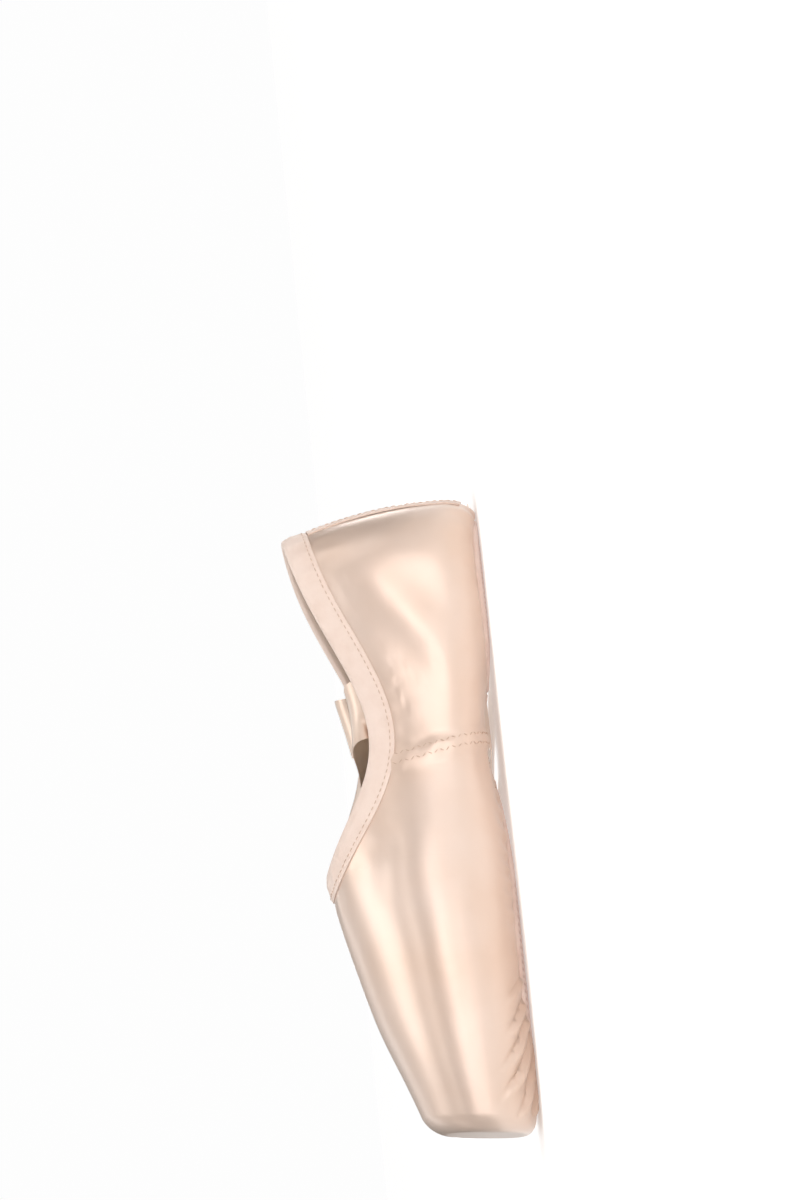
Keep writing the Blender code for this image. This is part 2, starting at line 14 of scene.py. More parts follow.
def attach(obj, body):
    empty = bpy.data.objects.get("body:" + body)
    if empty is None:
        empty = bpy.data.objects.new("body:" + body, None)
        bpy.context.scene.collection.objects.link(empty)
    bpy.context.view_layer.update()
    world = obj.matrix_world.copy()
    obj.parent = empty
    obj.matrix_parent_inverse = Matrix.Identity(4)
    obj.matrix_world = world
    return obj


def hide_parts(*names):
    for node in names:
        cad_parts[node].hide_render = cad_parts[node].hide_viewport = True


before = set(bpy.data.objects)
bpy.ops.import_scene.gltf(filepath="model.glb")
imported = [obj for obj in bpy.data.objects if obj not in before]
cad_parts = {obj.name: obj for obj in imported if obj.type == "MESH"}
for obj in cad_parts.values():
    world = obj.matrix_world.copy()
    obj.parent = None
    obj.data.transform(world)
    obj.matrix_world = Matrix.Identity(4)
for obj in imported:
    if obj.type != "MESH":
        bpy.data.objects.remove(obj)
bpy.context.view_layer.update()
print("scene: packed model loaded")

last = {
    "length": 0.230, "ballWidth": 0.079, "waistWidth": 0.054, "heelWidth": 0.057, "toeWidth": 0.052,
    "toeHeight": 0.0395, "instepHeight": 0.0665, "archLift": 0.0042, "proud": 0.0008,
    "vampLength": 0.098, "sideHeight": 0.0455, "heelHeight": 0.070, "collarLean": 0.009,
    "heelRound": 0.031, "heelFootDepth": 0.005, "heelFootHeight": 0.012, "heelShearReach": 0.055,
    "toeEdge": 0.0065, "platformTilt": math.radians(6), "platformReach": 0.045,
    "quarterWall": 0.0015, "boxWall": 0.0030, "bottomWall": 0.00315,
}
last["throat"] = last["length"] - last["vampLength"]
last["middle"] = last["length"] / 2 - 0.0005 / 2 - (0.0005 + 0.0006) / 2


def sectionTable():
    d = last
    heel, waist, ball, toe = d["heelWidth"], d["waistWidth"], d["ballWidth"], d["toeWidth"]
    high, side, instep, tip = d["heelHeight"], d["sideHeight"], d["instepHeight"], d["toeHeight"]
    foot, lift = d["proud"], d["archLift"]
    return np.array([  # along, half width, widest height, crown, floor, squareness low and high
        (0.00, 0.480 * heel, 0.31 * high, 1.30 * high, foot, 3.4, 2.0),
        (0.12, 0.500 * heel, 0.31 * high, 1.24 * high, foot, 3.5, 2.1),
        (0.25, 0.490 * heel, 0.30 * high, 1.05 * high, foot + 0.12 * lift, 3.3, 2.2),
        (0.39, 0.500 * waist, 0.46 * side, 1.38 * side, foot + lift, 2.9, 2.2),
        (0.50, 0.405 * ball, 0.34 * instep, 0.99 * instep, foot + 0.38 * lift, 2.9, 2.2),
        (0.60, 0.470 * ball, 0.36 * instep, 0.98 * instep, foot, 3.0, 2.2),
        (0.70, 0.500 * ball, 0.36 * instep, 0.91 * instep, foot, 3.0, 2.25),
        (0.80, 0.480 * ball, 0.35 * instep, 0.82 * instep, foot, 3.0, 2.3),
        (0.90, 0.640 * toe, 0.56 * tip, 1.19 * tip, foot, 2.9, 2.4),
        (1.00, 0.500 * toe, 0.51 * tip, 1.00 * tip, 1.8 * foot, 2.7, 2.4),
    ])


def spline(xs, ys):  # natural cubic curve through the points
    xs, ys = np.array(xs, float), np.array(ys, float)
    gaps = np.diff(xs)
    slopes = np.diff(ys) / gaps
    system, right = np.eye(len(xs)), np.zeros(len(xs))
    for i in range(1, len(xs) - 1):
        system[i, i - 1 : i + 2] = gaps[i - 1], 2 * (gaps[i - 1] + gaps[i]), gaps[i]
        right[i] = 6 * (slopes[i] - slopes[i - 1])
    bend = np.linalg.solve(system, right)

    def at(x):
        x = np.clip(x, xs[0], xs[-1])
        i = np.clip(np.searchsorted(xs, x) - 1, 0, len(gaps) - 1)
        after, before, gap = xs[i + 1] - x, x - xs[i], gaps[i]
        curved = (bend[i] * after**3 + bend[i + 1] * before**3) / (6 * gap)
        start = (ys[i] / gap - bend[i] * gap / 6) * after
        end = (ys[i + 1] / gap - bend[i + 1] * gap / 6) * before
        return curved + start + end

    return at


def ramp(x, start, end):  # 0 before start, 1 after end, soft between
    t = np.clip((x - start) / (end - start), 0, 1)
    return t * t * (3 - 2 * t)


def travel(points):  # how far along a line each of its points is
    return np.concatenate([[0], np.cumsum(np.linalg.norm(np.diff(points, axis=0), axis=1))])


def follow(line, along, at):  # places on a line, given how far along they are
    return np.stack([np.interp(at, along, column) for column in np.asarray(line).T], axis=1)


def headings(line, along, at, step):  # a line's direction at those places
    way = follow(line, along, at + step) - follow(line, along, at - step)
    return way / np.linalg.norm(way, axis=1)[:, None]


def unit(vector):
    return vector / np.linalg.norm(vector)


sectionNames = ("halfWidth", "widest", "crown", "floor", "low", "high")
sectionCurves = {
    name: spline(sectionTable()[:, 0], sectionTable()[:, k + 1]) for k, name in enumerate(sectionNames)
}


def section(x):  # the last's section at a distance from the heel, its ends rounded
    size = {name: curve(x / last["length"]) for name, curve in sectionCurves.items()}
    heel = max(0.0, 1 - x / last["heelRound"])
    size["halfWidth"] *= (1 - heel**2.2) ** (1 / 2.2)
    edge = last["toeEdge"]
    past = min(max(0.0, x - (last["length"] - edge)), edge)
    inset = edge - math.sqrt(edge**2 - past**2)
    size["halfWidth"] -= inset
    size["crown"] -= inset
    size["floor"] += 0.7 * inset
    return size


def makeCollarCurve():
    heel, side, crown = last["heelHeight"], last["sideHeight"], section(last["throat"])["crown"]
    rows = (
        (0.00, 1.02, 0.00, 0.00), (0.07, 1.00, 0.00, 0.00), (0.23, 0.78, 0.22, 0.00),
        (0.42, 0.35, 0.65, 0.00), (0.60, 0.03, 0.97, 0.00), (0.72, 0.00, 0.95, 0.06),
        (0.83, 0.00, 0.61, 0.39), (0.92, 0.00, 0.27, 0.73), (1.00, 0.00, 0.00, 1.00),
    )
    return spline([r[0] for r in rows], [r[1] * heel + r[2] * side + r[3] * crown for r in rows])


collarCurve = makeCollarCurve()


def shifted(x, z):  # the heel's curved back and the platform's tilt, as a move along the shoe
    d = last
    foot = np.clip((d["proud"] + d["heelFootHeight"] - z) / d["heelFootHeight"], 0, 1)
    widest = sectionCurves["widest"](0)
    above = np.clip((z - widest) / (d["heelHeight"] - widest), 0, None)
    back = d["heelFootDepth"] * (1 - np.sqrt(1 - foot**2)) + d["collarLean"] * above**1.7
    nearHeel = max(0.0, 1 - x / d["heelShearReach"]) ** 2
    nearToe = ramp(x, d["length"] - d["platformReach"], d["length"])
    return back * nearHeel - nearToe * math.tan(d["platformTilt"]) * (z - d["proud"])


def rib(x, shrink, shares):  # one half of a section, from the sole's middle up to the collar or crown
    size = section(x)
    angle = np.linspace(-math.pi / 2, math.pi / 2, 721)
    low, high = angle < 0, angle >= 0
    power = np.where(low, 2 / size["low"], 2 / size["high"])
    across, up = np.clip(np.cos(angle), 0, 1) ** power, np.abs(np.sin(angle)) ** power
    reach = np.where(low, size["floor"] - size["widest"], size["crown"] - size["widest"])
    y, z = size["halfWidth"] * across, size["widest"] + reach * up
    middle = (size["floor"] + size["crown"]) / 2
    y, z = y * shrink, middle + (z - middle) * shrink
    points = np.stack([x + shifted(x, z), y, z], axis=1)
    if x < last["throat"] - 1e-9:
        over = z - collarCurve(points[:, 0] / last["throat"])
        end = int(np.flatnonzero(high & (over > 0))[0])
        part = over[end - 1] / (over[end - 1] - over[end])
        edge = points[end - 1] + part * (points[end] - points[end - 1])
        points = np.vstack([points[:end], edge])
    along = travel(points)
    at = np.asarray(shares) * along[-1]
    return follow(points, along, at), at


def ribPlaces(heel=7, quarter=8, throat=8, vamp=9, edge=4, platform=2):
    d = last
    turn = np.linspace(0, math.pi / 2, heel + 1)
    close = 0.030  # ribs get closer over this length before the throat
    places = [
        d["heelRound"] * (1 - np.cos(turn)),
        np.linspace(d["heelRound"], d["throat"] - close, quarter + 1)[1:],
        d["throat"] - close * np.linspace(1, 0, throat + 1)[1:] ** 1.6,
        np.linspace(d["throat"], d["length"] - d["toeEdge"], vamp + 1)[1:],
        d["length"] - d["toeEdge"] + d["toeEdge"] * np.sin(np.linspace(0, math.pi / 2, edge + 1)[1:]),
    ]
    whole = [(x, 1.0) for x in np.concatenate(places)]
    return whole + [(d["length"], shrink) for shrink in np.linspace(1, 0, platform + 1)[1:]]


def bottomHeight(x, y):  # height of the satin's underside
    size = {name: curve(x / last["length"]) for name, curve in sectionCurves.items()}
    heel = np.clip(1 - x / last["heelRound"], 0, 1)
    half = size["halfWidth"] * (1 - heel**2.2) ** (1 / 2.2)
    share = np.minimum(np.abs(y) / np.maximum(half, 1e-6), 0.95)
    deep = size["widest"] - size["floor"]
    return size["floor"] + deep * (1 - (1 - share ** size["low"]) ** (1 / size["low"]))


def gridFaces(rows, columns, outward=True, closed=False):
    faces = []
    for r in range(rows if closed else rows - 1):
        for c in range(columns - 1):
            a, b = r * columns + c, (r + 1) % rows * columns + c
            faces.append((a, a + 1, b + 1, b) if outward else (b, b + 1, a + 1, a))
    return faces


def weld(points, faces):  # one point per place; also the corners' numbers before the weld
    _, first, index = np.unique(
        np.round(points * 1e7).astype(np.int64), axis=0, return_index=True, return_inverse=True
    )
    index = index.reshape(-1)
    kept, corners = [], []
    for face in faces:
        ring = [(int(index[v]), v) for v in face]
        ring = [pair for i, pair in enumerate(ring) if pair[0] != ring[i - 1][0]]
        if len(ring) > 2:
            kept.append(tuple(pair[0] for pair in ring))
            corners.append(tuple(pair[1] for pair in ring))
    return points[first], kept, corners, first


def pointNormals(points, faces):
    quads = np.array([face if len(face) == 4 else (*face, face[2]) for face in faces])
    ring = points[quads]
    flat = np.cross(ring[:, 2] - ring[:, 0], ring[:, 3] - ring[:, 1])
    normals = np.zeros_like(points)
    for k in range(4):
        np.add.at(normals, quads[:, k], flat)
    return normals / np.maximum(np.linalg.norm(normals, axis=1), 1e-12)[:, None]


def addObject(name, data):
    made = bpy.data.objects.new(name, data)
    bpy.context.scene.collection.objects.link(made)
    return made


def makePiece(name, points, faces, materials, uv, corners=None, slots=None, sharp=50):
    mesh = bpy.data.meshes.new(name)
    moved = np.asarray(points) - (last["middle"], 0, 0)
    mesh.from_pydata([tuple(p) for p in moved], [], faces)
    for material in materials:
        mesh.materials.append(material)
    if slots is not None:
        mesh.polygons.foreach_set("material_index", slots)
    layer = mesh.uv_layers.new(name="cloth")
    order = [v for ring in (corners or faces) for v in ring]
    layer.data.foreach_set("uv", np.asarray(uv)[order].reshape(-1).astype(np.float32))
    mesh.shade_smooth()
    mesh.set_sharp_from_angle(angle=math.radians(sharp))
    mesh.validate()
    return addObject(name, mesh)


def setMesh(lower, upper):  # closed strip between two grids, with its corners' uv in metres
    rows, columns = lower.shape[:2]
    count = rows * columns
    faces = gridFaces(rows, columns)
    faces += [tuple(v + count for v in f) for f in gridFaces(rows, columns, False)]
    ring = list(range(columns)) + [r * columns + columns - 1 for r in range(1, rows)]
    ring += [(rows - 1) * columns + c for c in range(columns - 2, -1, -1)]
    ring += [r * columns for r in range(rows - 2, 0, -1)]
    faces += [(b, a, a + count, b + count) for a, b in zip(ring, ring[1:] + ring[:1])]
    middle = lower[:, columns // 2]
    along = travel(middle)
    across = np.linalg.norm(lower - middle[:, None], axis=2) * np.sign(np.arange(columns) - columns // 2)
    uv = np.stack([np.repeat(along[:, None], columns, 1), across], axis=2).reshape(-1, 2)
    return np.vstack([lower.reshape(-1, 3), upper.reshape(-1, 3)]), faces, np.vstack([uv, uv])


def surfaceTree(points, faces):
    return BVHTree.FromPolygons([Vector(p) for p in points], faces)


def closest(tree, point):  # nearest place of a surface and its normal
    place, normal, _, _ = tree.find_nearest(Vector(point))
    return np.array(place), np.array(normal)


def distances(points, line, chunk=4000):  # nearest sample of a line: its number and the vector from it
    number, away = np.zeros(len(points), int), np.zeros_like(points)
    for start in range(0, len(points), chunk):
        part = points[start : start + chunk]
        gap = part[:, None] - line[None]
        near = np.argmin((gap**2).sum(axis=2), axis=1)
        number[start : start + chunk] = near
        away[start : start + chunk] = gap[np.arange(len(part)), near]
    return number, away


camera = {
    "azimuth": 190.0, "elevation": 1.2,  # the picture's side of the shoe, as low as the floor lets it
    "roll": 95.7,  # toe down, sole to the right
    "distance": 1.6, "frameHeight": 0.430, "pixels": (800, 1200), "shoeAt": (410, 822),
    "sensor": 24, "farthest": 30,
}


def addCamera():
    azimuth, elevation, roll = (math.radians(camera[k]) for k in ("azimuth", "elevation", "roll"))
    back = Vector((math.sin(azimuth) * -1, -math.cos(azimuth), 0))
    back = Vector((back.x * math.cos(elevation), back.y * math.cos(elevation), math.sin(elevation)))
    level = Vector((0, 0, 1)).cross(back).normalized()
    up = back.cross(level)
    right = level * math.cos(roll) - up * math.sin(roll)
    upward = level * math.sin(roll) + up * math.cos(roll)
    scale = camera["frameHeight"] / camera["pixels"][1]
    shift = [(camera["shoeAt"][k] - camera["pixels"][k] / 2) * scale for k in (0, 1)]
    centre = Vector((0, 0, last["heelHeight"] / 2))
    aim = centre - right * shift[0] + upward * shift[1]
    data = bpy.data.cameras.new("photoCamera")
    data.sensor_fit = "VERTICAL"
    data.sensor_height = camera["sensor"]
    data.lens = camera["sensor"] * camera["distance"] / camera["frameHeight"]
    data.clip_end = camera["farthest"]
    made = addObject("photoCamera", data)
    made.location = aim + back * camera["distance"]
    turn = [(right[i], upward[i], back[i]) for i in range(3)]
    made.rotation_euler = Matrix(turn).to_euler()
    bpy.context.scene.camera = made


addCamera()
print("scene: camera set")


def addNode(tree, kind, **inputs):  # inputs by name, _ for a space: values, or sockets to link
    made = tree.nodes.new(kind)
    for name, value in inputs.items():
        socket = made.inputs[name.replace("_", " ")]
        if isinstance(value, bpy.types.NodeSocket):
            tree.links.new(value, socket)
        else:
            socket.default_value = value
    return made


def newMaterial(name, colour, rough, **sockets):
    material = bpy.data.materials.new(name)
    material.use_nodes = True
    shader = material.node_tree.nodes["Principled BSDF"]
    shader.inputs["Base Color"].default_value = (*colour, 1)
    shader.inputs["Roughness"].default_value = rough
    for socket, value in sockets.items():
        shader.inputs[socket.replace("_", " ")].default_value = value
    return material, material.node_tree, shader


def coordinates(tree, scale, uv=False):  # metres of the piece, or of its cloth, times a scale
    if uv:
        source = tree.nodes.new("ShaderNodeUVMap")
        source.uv_map = "cloth"
    else:
        source = tree.nodes.new("ShaderNodeTexCoord")
    out = source.outputs["UV" if uv else "Object"]
    return addNode(tree, "ShaderNodeMapping", Vector=out, Scale=scale).outputs["Vector"]


def noise(tree, scale, detail=2.0, roughness=0.5, uv=False):
    return addNode(
        tree, "ShaderNodeTexNoise", Vector=coordinates(tree, scale, uv), Scale=1.0, Detail=detail,
        Roughness=roughness,
    ).outputs["Fac"]


def threadWave(tree, direction, threads):  # threads to the metre along one way of the cloth
    scale = (threads / 3.14, 1, 1) if direction == "X" else (1, threads / 3.14, 1)
    made = addNode(
        tree, "ShaderNodeTexWave", Vector=coordinates(tree, scale, uv=True), Scale=1.0, Distortion=0.6
    )
    made.bands_direction = direction
    return made.outputs["Fac"]


def colourRamp(tree, fac, *stops):
    made = addNode(tree, "ShaderNodeValToRGB", Fac=fac)
    for k, (place, colour) in enumerate(stops):
        stop = made.color_ramp.elements[k] if k < 2 else made.color_ramp.elements.new(place)
        stop.position, stop.color = place, (*colour, 1)
    return made.outputs["Color"]


def rangeOf(tree, fac, low, high, start=0.3, end=0.7):
    return addNode(
        tree, "ShaderNodeMapRange", Value=fac, From_Min=start, From_Max=end, To_Min=low, To_Max=high
    ).outputs["Result"]


def bumps(tree, shader, *layers):  # height, strength and distance, from coarse to fine
    normal = None
    for height, strength, distance in layers:
        made = addNode(tree, "ShaderNodeBump", Height=height, Strength=strength, Distance=distance)
        if normal is not None:
            tree.links.new(normal, made.inputs["Normal"])
        normal = made.outputs["Normal"]
    tree.links.new(normal, shader.inputs["Normal"])


satinFinish = {
    "colour": (0.770, 0.590, 0.480), "warm": (0.745, 0.550, 0.430), "pale": (0.795, 0.630, 0.530),
    "rough": 0.345, "wear": 0.06, "metal": 0.44, "anisotropic": 0.40, "specular": 0.85,
    "sheen": 0.06, "sheenRough": 0.35, "sheenTint": (1.0, 0.94, 0.88, 1), "coat": 0.80, "coatRough": 0.32,
    "threads": 1500, "slubs": 300, "cloudScale": (26, 34, 26), "wornScale": (55, 80, 55),
    "softScale": (130, 130, 130), "softBump": (0.10, 0.0006), "threadBump": (0.012, 0.00005),
}
ribbonFinish = {
    "colour": (0.810, 0.640, 0.520), "warm": (0.755, 0.565, 0.440), "pale": (0.810, 0.640, 0.520),
    "rough": 0.40, "slubs": 420,
}
cottonFinish = {"sheen": 0.25, "specular": 0.3, "blotchScale": (120, 120, 120), "threadStrength": 0.30}
bindingFinish = {
    "colour": (0.870, 0.705, 0.610), "deep": (0.820, 0.640, 0.540), "rough": 0.62,
    "weft": 3895.46, "warp": 2600, "threadDepth": 0.00012,
}
liningFinish = {
    "colour": (0.890, 0.830, 0.750), "deep": (0.830, 0.765, 0.680), "rough": 0.85,
    "weft": 3400, "warp": 3400, "threadDepth": 0.00015,
}
sockFinish = {
    "colour": (0.860, 0.790, 0.690), "deep": (0.790, 0.710, 0.600), "rough": 0.88,
    "weft": 2600, "warp": 2600, "threadDepth": 0.00012,
}
leatherFinish = {
    "colour": (0.835, 0.665, 0.590), "deep": (0.765, 0.580, 0.500), "pale": (0.875, 0.730, 0.660),
    # the groove colour is painted shade, laid darker where the grooves and ticks are cut deeper
    "paintedGrooveShade": (0.560, 0.370, 0.300), "rough": 0.66, "specular": 0.35, "sheen": 0.2,
    "grainScale": (1500, 1500, 1500), "napScale": (900, 900, 900), "cloudScale": (70, 110, 70),
    "napBump": (0.35, 0.00025), "grainBump": (0.20, 0.0001),
}
threadFinish = {"colour": (0.640, 0.455, 0.345), "rough": 0.60, "sheen": 0.3}


def satinMaterial(name, finish):
    material, tree, shader = newMaterial(
        name, finish["colour"], finish["rough"], Metallic=finish["metal"],
        Anisotropic=finish["anisotropic"], Specular_IOR_Level=finish["specular"],
        Sheen_Weight=finish["sheen"], Sheen_Roughness=finish["sheenRough"], Sheen_Tint=finish["sheenTint"],
        Coat_Weight=finish["coat"], Coat_Roughness=finish["coatRough"],
    )
    cloudy = noise(tree, finish["cloudScale"], 3, 0.55)
    tone = colourRamp(tree, cloudy, (0.30, finish["warm"]), (0.52, finish["colour"]), (0.74, finish["pale"]))
    tree.links.new(tone, shader.inputs["Base Color"])
    worn = noise(tree, finish["wornScale"], 4, 0.6)
    rough = rangeOf(tree, worn, finish["rough"], finish["rough"] + finish["wear"])
    tree.links.new(rough, shader.inputs["Roughness"])
    thread = noise(tree, (finish["slubs"], finish["threads"], 1), 1, 0.4, uv=True)
    soft = noise(tree, finish["softScale"], 3, 0.5)
    bumps(tree, shader, (soft, *finish["softBump"]), (thread, *finish["threadBump"]))
    return material


def cottonMaterial(name, finish):  # plain woven
    d = {**cottonFinish, **finish}
    material, tree, shader = newMaterial(
        name, d["colour"], d["rough"], Sheen_Weight=d["sheen"], Sheen_Roughness=0.5,
        Specular_IOR_Level=d["specular"],
    )
    weft, warp = threadWave(tree, "X", d["weft"]), threadWave(tree, "Y", d["warp"])
    blotch = noise(tree, d["blotchScale"], 4, 0.6)
    tone = colourRamp(tree, blotch, (0.25, d["deep"]), (0.60, d["colour"]))
    tree.links.new(tone, shader.inputs["Base Color"])
    threadBump = (d["threadStrength"], d["threadDepth"])
    bumps(tree, shader, (blotch, 0.25, 0.0003), (weft, *threadBump), (warp, *threadBump))
    return material


def leatherMaterial(name, finish):
    material, tree, shader = newMaterial(
        name, finish["colour"], finish["rough"], Sheen_Weight=finish["sheen"], Sheen_Roughness=0.6,
        Specular_IOR_Level=finish["specular"],
    )
    grain = addNode(
        tree, "ShaderNodeTexVoronoi", Vector=coordinates(tree, finish["grainScale"]), Scale=1.0
    )
    grain.feature = "DISTANCE_TO_EDGE"
    nap = noise(tree, finish["napScale"], 4, 0.65)
    cloudy = noise(tree, finish["cloudScale"], 4, 0.6)
    tone = colourRamp(tree, cloudy, (0.28, finish["deep"]), (0.50, finish["colour"]), (0.72, finish["pale"]))
    # painted shade in the grooves: the cut's depth mixes the leather's colour towards the groove shade
    cut = tree.nodes.new("ShaderNodeAttribute")
    cut.attribute_name = "cut"
    grooveShaded = tree.nodes.new("ShaderNodeMix")
    grooveShaded.data_type = "RGBA"
    tree.links.new(rangeOf(tree, cut.outputs["Fac"], 0.0, 0.85, 0.15, 1.0), grooveShaded.inputs["Factor"])
    tree.links.new(tone, grooveShaded.inputs["A"])
    grooveShaded.inputs["B"].default_value = (*finish["paintedGrooveShade"], 1)
    tree.links.new(grooveShaded.outputs["Result"], shader.inputs["Base Color"])
    rough = rangeOf(tree, cloudy, finish["rough"] - 0.08, finish["rough"] + 0.1)
    tree.links.new(rough, shader.inputs["Roughness"])
    bumps(tree, shader, (nap, *finish["napBump"]), (grain.outputs["Distance"], *finish["grainBump"]))
    return material


satin = satinMaterial("peach satin", satinFinish)
ribbonCloth = satinMaterial("ribbon satin", {**satinFinish, **ribbonFinish})
bindingCloth = cottonMaterial("binding cotton", bindingFinish)
liningCloth = cottonMaterial("cotton lining", liningFinish)
sockCloth = cottonMaterial("sock", sockFinish)
soleLeather = leatherMaterial("sole suede", leatherFinish)
threadMaterial, _, _ = newMaterial(
    "thread", threadFinish["colour"], threadFinish["rough"], Sheen_Weight=threadFinish["sheen"]
)
print("scene: materials made")

def bareSkin(places, shares):  # the whole outside as one grid: right collar, sole, left collar
    ribs, arcs = zip(*(rib(x, shrink, shares) for x, shrink in places))
    half, arc = np.array(ribs), np.array(arcs)
    grid = np.concatenate([half[:, :0:-1] * (1, -1, 1), half], axis=1)
    around = np.concatenate([-arc[:, :0:-1], arc], axis=1)
    middle = grid[:, grid.shape[1] // 4]
    along = travel(middle)
    uv = np.stack([np.repeat(along[:, None], grid.shape[1], 1), around], axis=2)
    return grid, uv


lastGrid, _ = bareSkin(ribPlaces(21, 24, 24, 27, 12, 6), np.linspace(0, 1, 61))
lastPoints, lastFaces, _, _ = weld(lastGrid.reshape(-1, 3), gridFaces(*lastGrid.shape[:2]))
near = partial(closest, surfaceTree(lastPoints, lastFaces))

ribbons = {
    "length": 0.50, "width": 0.022, "thickness": 0.0006, "start": 0.075, "sewn": 0.020, "gap": 0.0005,
    "bindingGap": 0.0005, "cloth": 0.0006, "bindingInside": 0.0070,
}
ribbonRoutes = {  # distance from the heel, to the left, height, yaw and slope of the width
    "ribbon_left": (
        (0.0752, 0.0182, 0.0495, 0, 0), (0.0775, 0.0150, 0.0520, 10, 0), (0.0835, 0.0070, 0.0512, 20, 3),
        (0.0900, -0.0030, 0.0490, 20, 10), (0.0975, -0.0140, 0.0500, 12, 17),
        (0.1020, -0.0228, 0.0538, 4, 20), (0.1032, -0.0300, 0.0455, -8, 14),
        (0.1035, -0.0332, 0.0300, -12, 6), (0.1040, -0.0355, 0.0150, -12, 0),
        (0.1055, -0.0470, 0.0030, 0, 0), (0.1120, -0.0850, 0, 0, 0), (0.1195, -0.1280, 0, 0, 8),
        (0.1270, -0.1700, 0, 0, 35), (0.1442, -0.1972, 0, 0, 58), (0.1755, -0.2043, 0, 0, 64),
        (0.2027, -0.1871, 0, 0, 58), (0.2098, -0.1558, 0, 0, 35), (0.2030, -0.1164, 0, 0, 8),
        (0.1962, -0.0770, 0, 0, 0), (0.1905, -0.0440, 0, 0, 0),
    ),
    "ribbon_right": (
        (0.0755, -0.0182, 0.0520, 0, -8), (0.0752, -0.0232, 0.0550, 0, -12), (0.0748, -0.0282, 0.0490, 0, -6),
        (0.0740, -0.0298, 0.0360, 0, 0), (0.0730, -0.0308, 0.0220, 0, 0), (0.0715, -0.0350, 0.0090, 0, 0),
        (0.0720, -0.0520, 0.0020, 0, 0), (0.0785, -0.0900, 0, 0, 0), (0.0865, -0.1360, 0, 0, -8),
        (0.0946, -0.1828, 0, 0, -35), (0.0893, -0.2067, 0, 0, -60), (0.0685, -0.2197, 0, 0, -66),
        (0.0447, -0.2144, 0, 0, -60), (0.0316, -0.1936, 0, 0, -35), (0.0248, -0.1542, 0, 0, -8),
        (0.0180, -0.1148, 0, 0, 0), (0.0112, -0.0754, 0, 0, 0), (0.0040, -0.0340, 0, 0, 0),
    ),
}


def sewnEnd(side):  # the ribbon's rows inside the quarter, from its end up to the collar
    d = ribbons
    wall, _ = rib(d["start"], 1.0, np.linspace(0, 1, 401))
    below = np.linalg.norm(np.diff(wall, axis=0), axis=1)[::-1].cumsum()
    rows = []
    for depth in (d["sewn"], 0.7 * d["sewn"], 0.45 * d["sewn"], 0.2 * d["sewn"], 0.0):
        point = wall[len(wall) - 1 - int(np.searchsorted(below, depth))]
        covered = 1 - ramp(depth, d["bindingInside"], 0.7 * d["sewn"])
        clear = last["quarterWall"] + d["gap"] + d["thickness"] / 2
        clear += covered * (1.8 * d["bindingGap"] + d["cloth"])
        row = []
        for across in (-0.5, 0.0, 0.5):
            place, normal = near(point + (across * d["width"], 0, 0))
            row.append((place - normal * clear) * (1, side, 1))
        rows.append(row)
    return np.array(rows)


def rowBetween(rows, step):
    k = min(int(step), len(rows) - 2)
    return rows[k] + (step - k) * (rows[k + 1] - rows[k])


def makeRibbon(name, stations=300, columns=12):
    d = ribbons
    sewn = sewnEnd(1 if name == "ribbon_left" else -1)
    route = np.array(ribbonRoutes[name])
    points = np.vstack([sewn[:, 1], route[:, :3]])
    along = travel(points)
    curves = [spline(along, points[:, k]) for k in range(3)]
    yaw, slope = (spline(along, np.concatenate([np.zeros(len(sewn)), route[:, k]])) for k in (3, 4))
    fine = np.linspace(0, along[-1], 4001)
    path = np.stack([curve(fine) for curve in curves], axis=1)
    travelled = travel(path)
    start = travelled[int(np.searchsorted(fine, along[len(sewn) - 1]))]
    end = min(d["length"], travelled[-1] - 0.001)
    at = start + (end - start) * np.linspace(0, 1, stations + 1)[1:] ** 1.15
    centres = follow(path, travelled, at)
    tangents = headings(path, travelled, at, 1e-4)
    shares = np.linspace(-0.5, 0.5, columns + 1)
    edgeTurn = np.sqrt(np.clip(1 - (np.abs(shares) * 2) ** 10, 0.25, 1))  # soft selvedge
    width = sewn[-1, 2] - sewn[-1, 0]
    flat = np.cross(sewn[1, 1] - sewn[0, 1], width)
    flat *= d["thickness"] / 2 / np.linalg.norm(flat)
    lower, upper, middle = [], [], []
    for step in np.linspace(0, len(sewn) - 1, 25):
        three = rowBetween(sewn, step)
        row = follow(three, (-0.5, 0, 0.5), shares)
        lower.append(row - flat * edgeTurn[:, None])
        upper.append(row + flat * edgeTurn[:, None])
        middle.append(three[1])
    middle = middle[::3]
    for centre, tangent, place in zip(centres, tangents, np.interp(at, travelled, fine)):
        aside, rise = math.radians(float(yaw(place))), math.radians(float(slope(place)))
        level = np.cross(tangent, (0, 0, 1))
        level *= math.copysign(1, level.dot(width))
        face = np.cross(tangent, level)
        flatRise = math.cos(rise)
        leaning = level * flatRise + face * math.sin(rise)
        pointed = np.array([math.cos(aside) * flatRise, math.sin(aside) * flatRise, math.sin(rise)])
        down = ramp(0.02 - centre[2], 0.0, 0.018)
        spread = pointed * (1 - down) + leaning * down
        spread = unit(spread - tangent * spread.dot(tangent))
        width = level if down > 0.5 else spread
        flat = np.cross(tangent, spread) * d["thickness"] / 2
        row = centre + shares[:, None] * spread * d["width"]
        lift = max(0.0, d["thickness"] + abs(flat[2]) - row[:, 2].min())
        lower.append(row - flat * edgeTurn[:, None] + (0, 0, lift))
        upper.append(row + flat * edgeTurn[:, None] + (0, 0, lift))
        middle.append(centre + (0, 0, lift))
    points, faces, uv = setMesh(np.array(lower), np.array(upper))
    made = makePiece(name + "Satin", points, faces, [ribbonCloth], uv, sharp=60)
    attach(made, "root")
    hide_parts(name)


for ribbonName in ribbonRoutes:
    makeRibbon(ribbonName)
print("scene: ribbons laid")

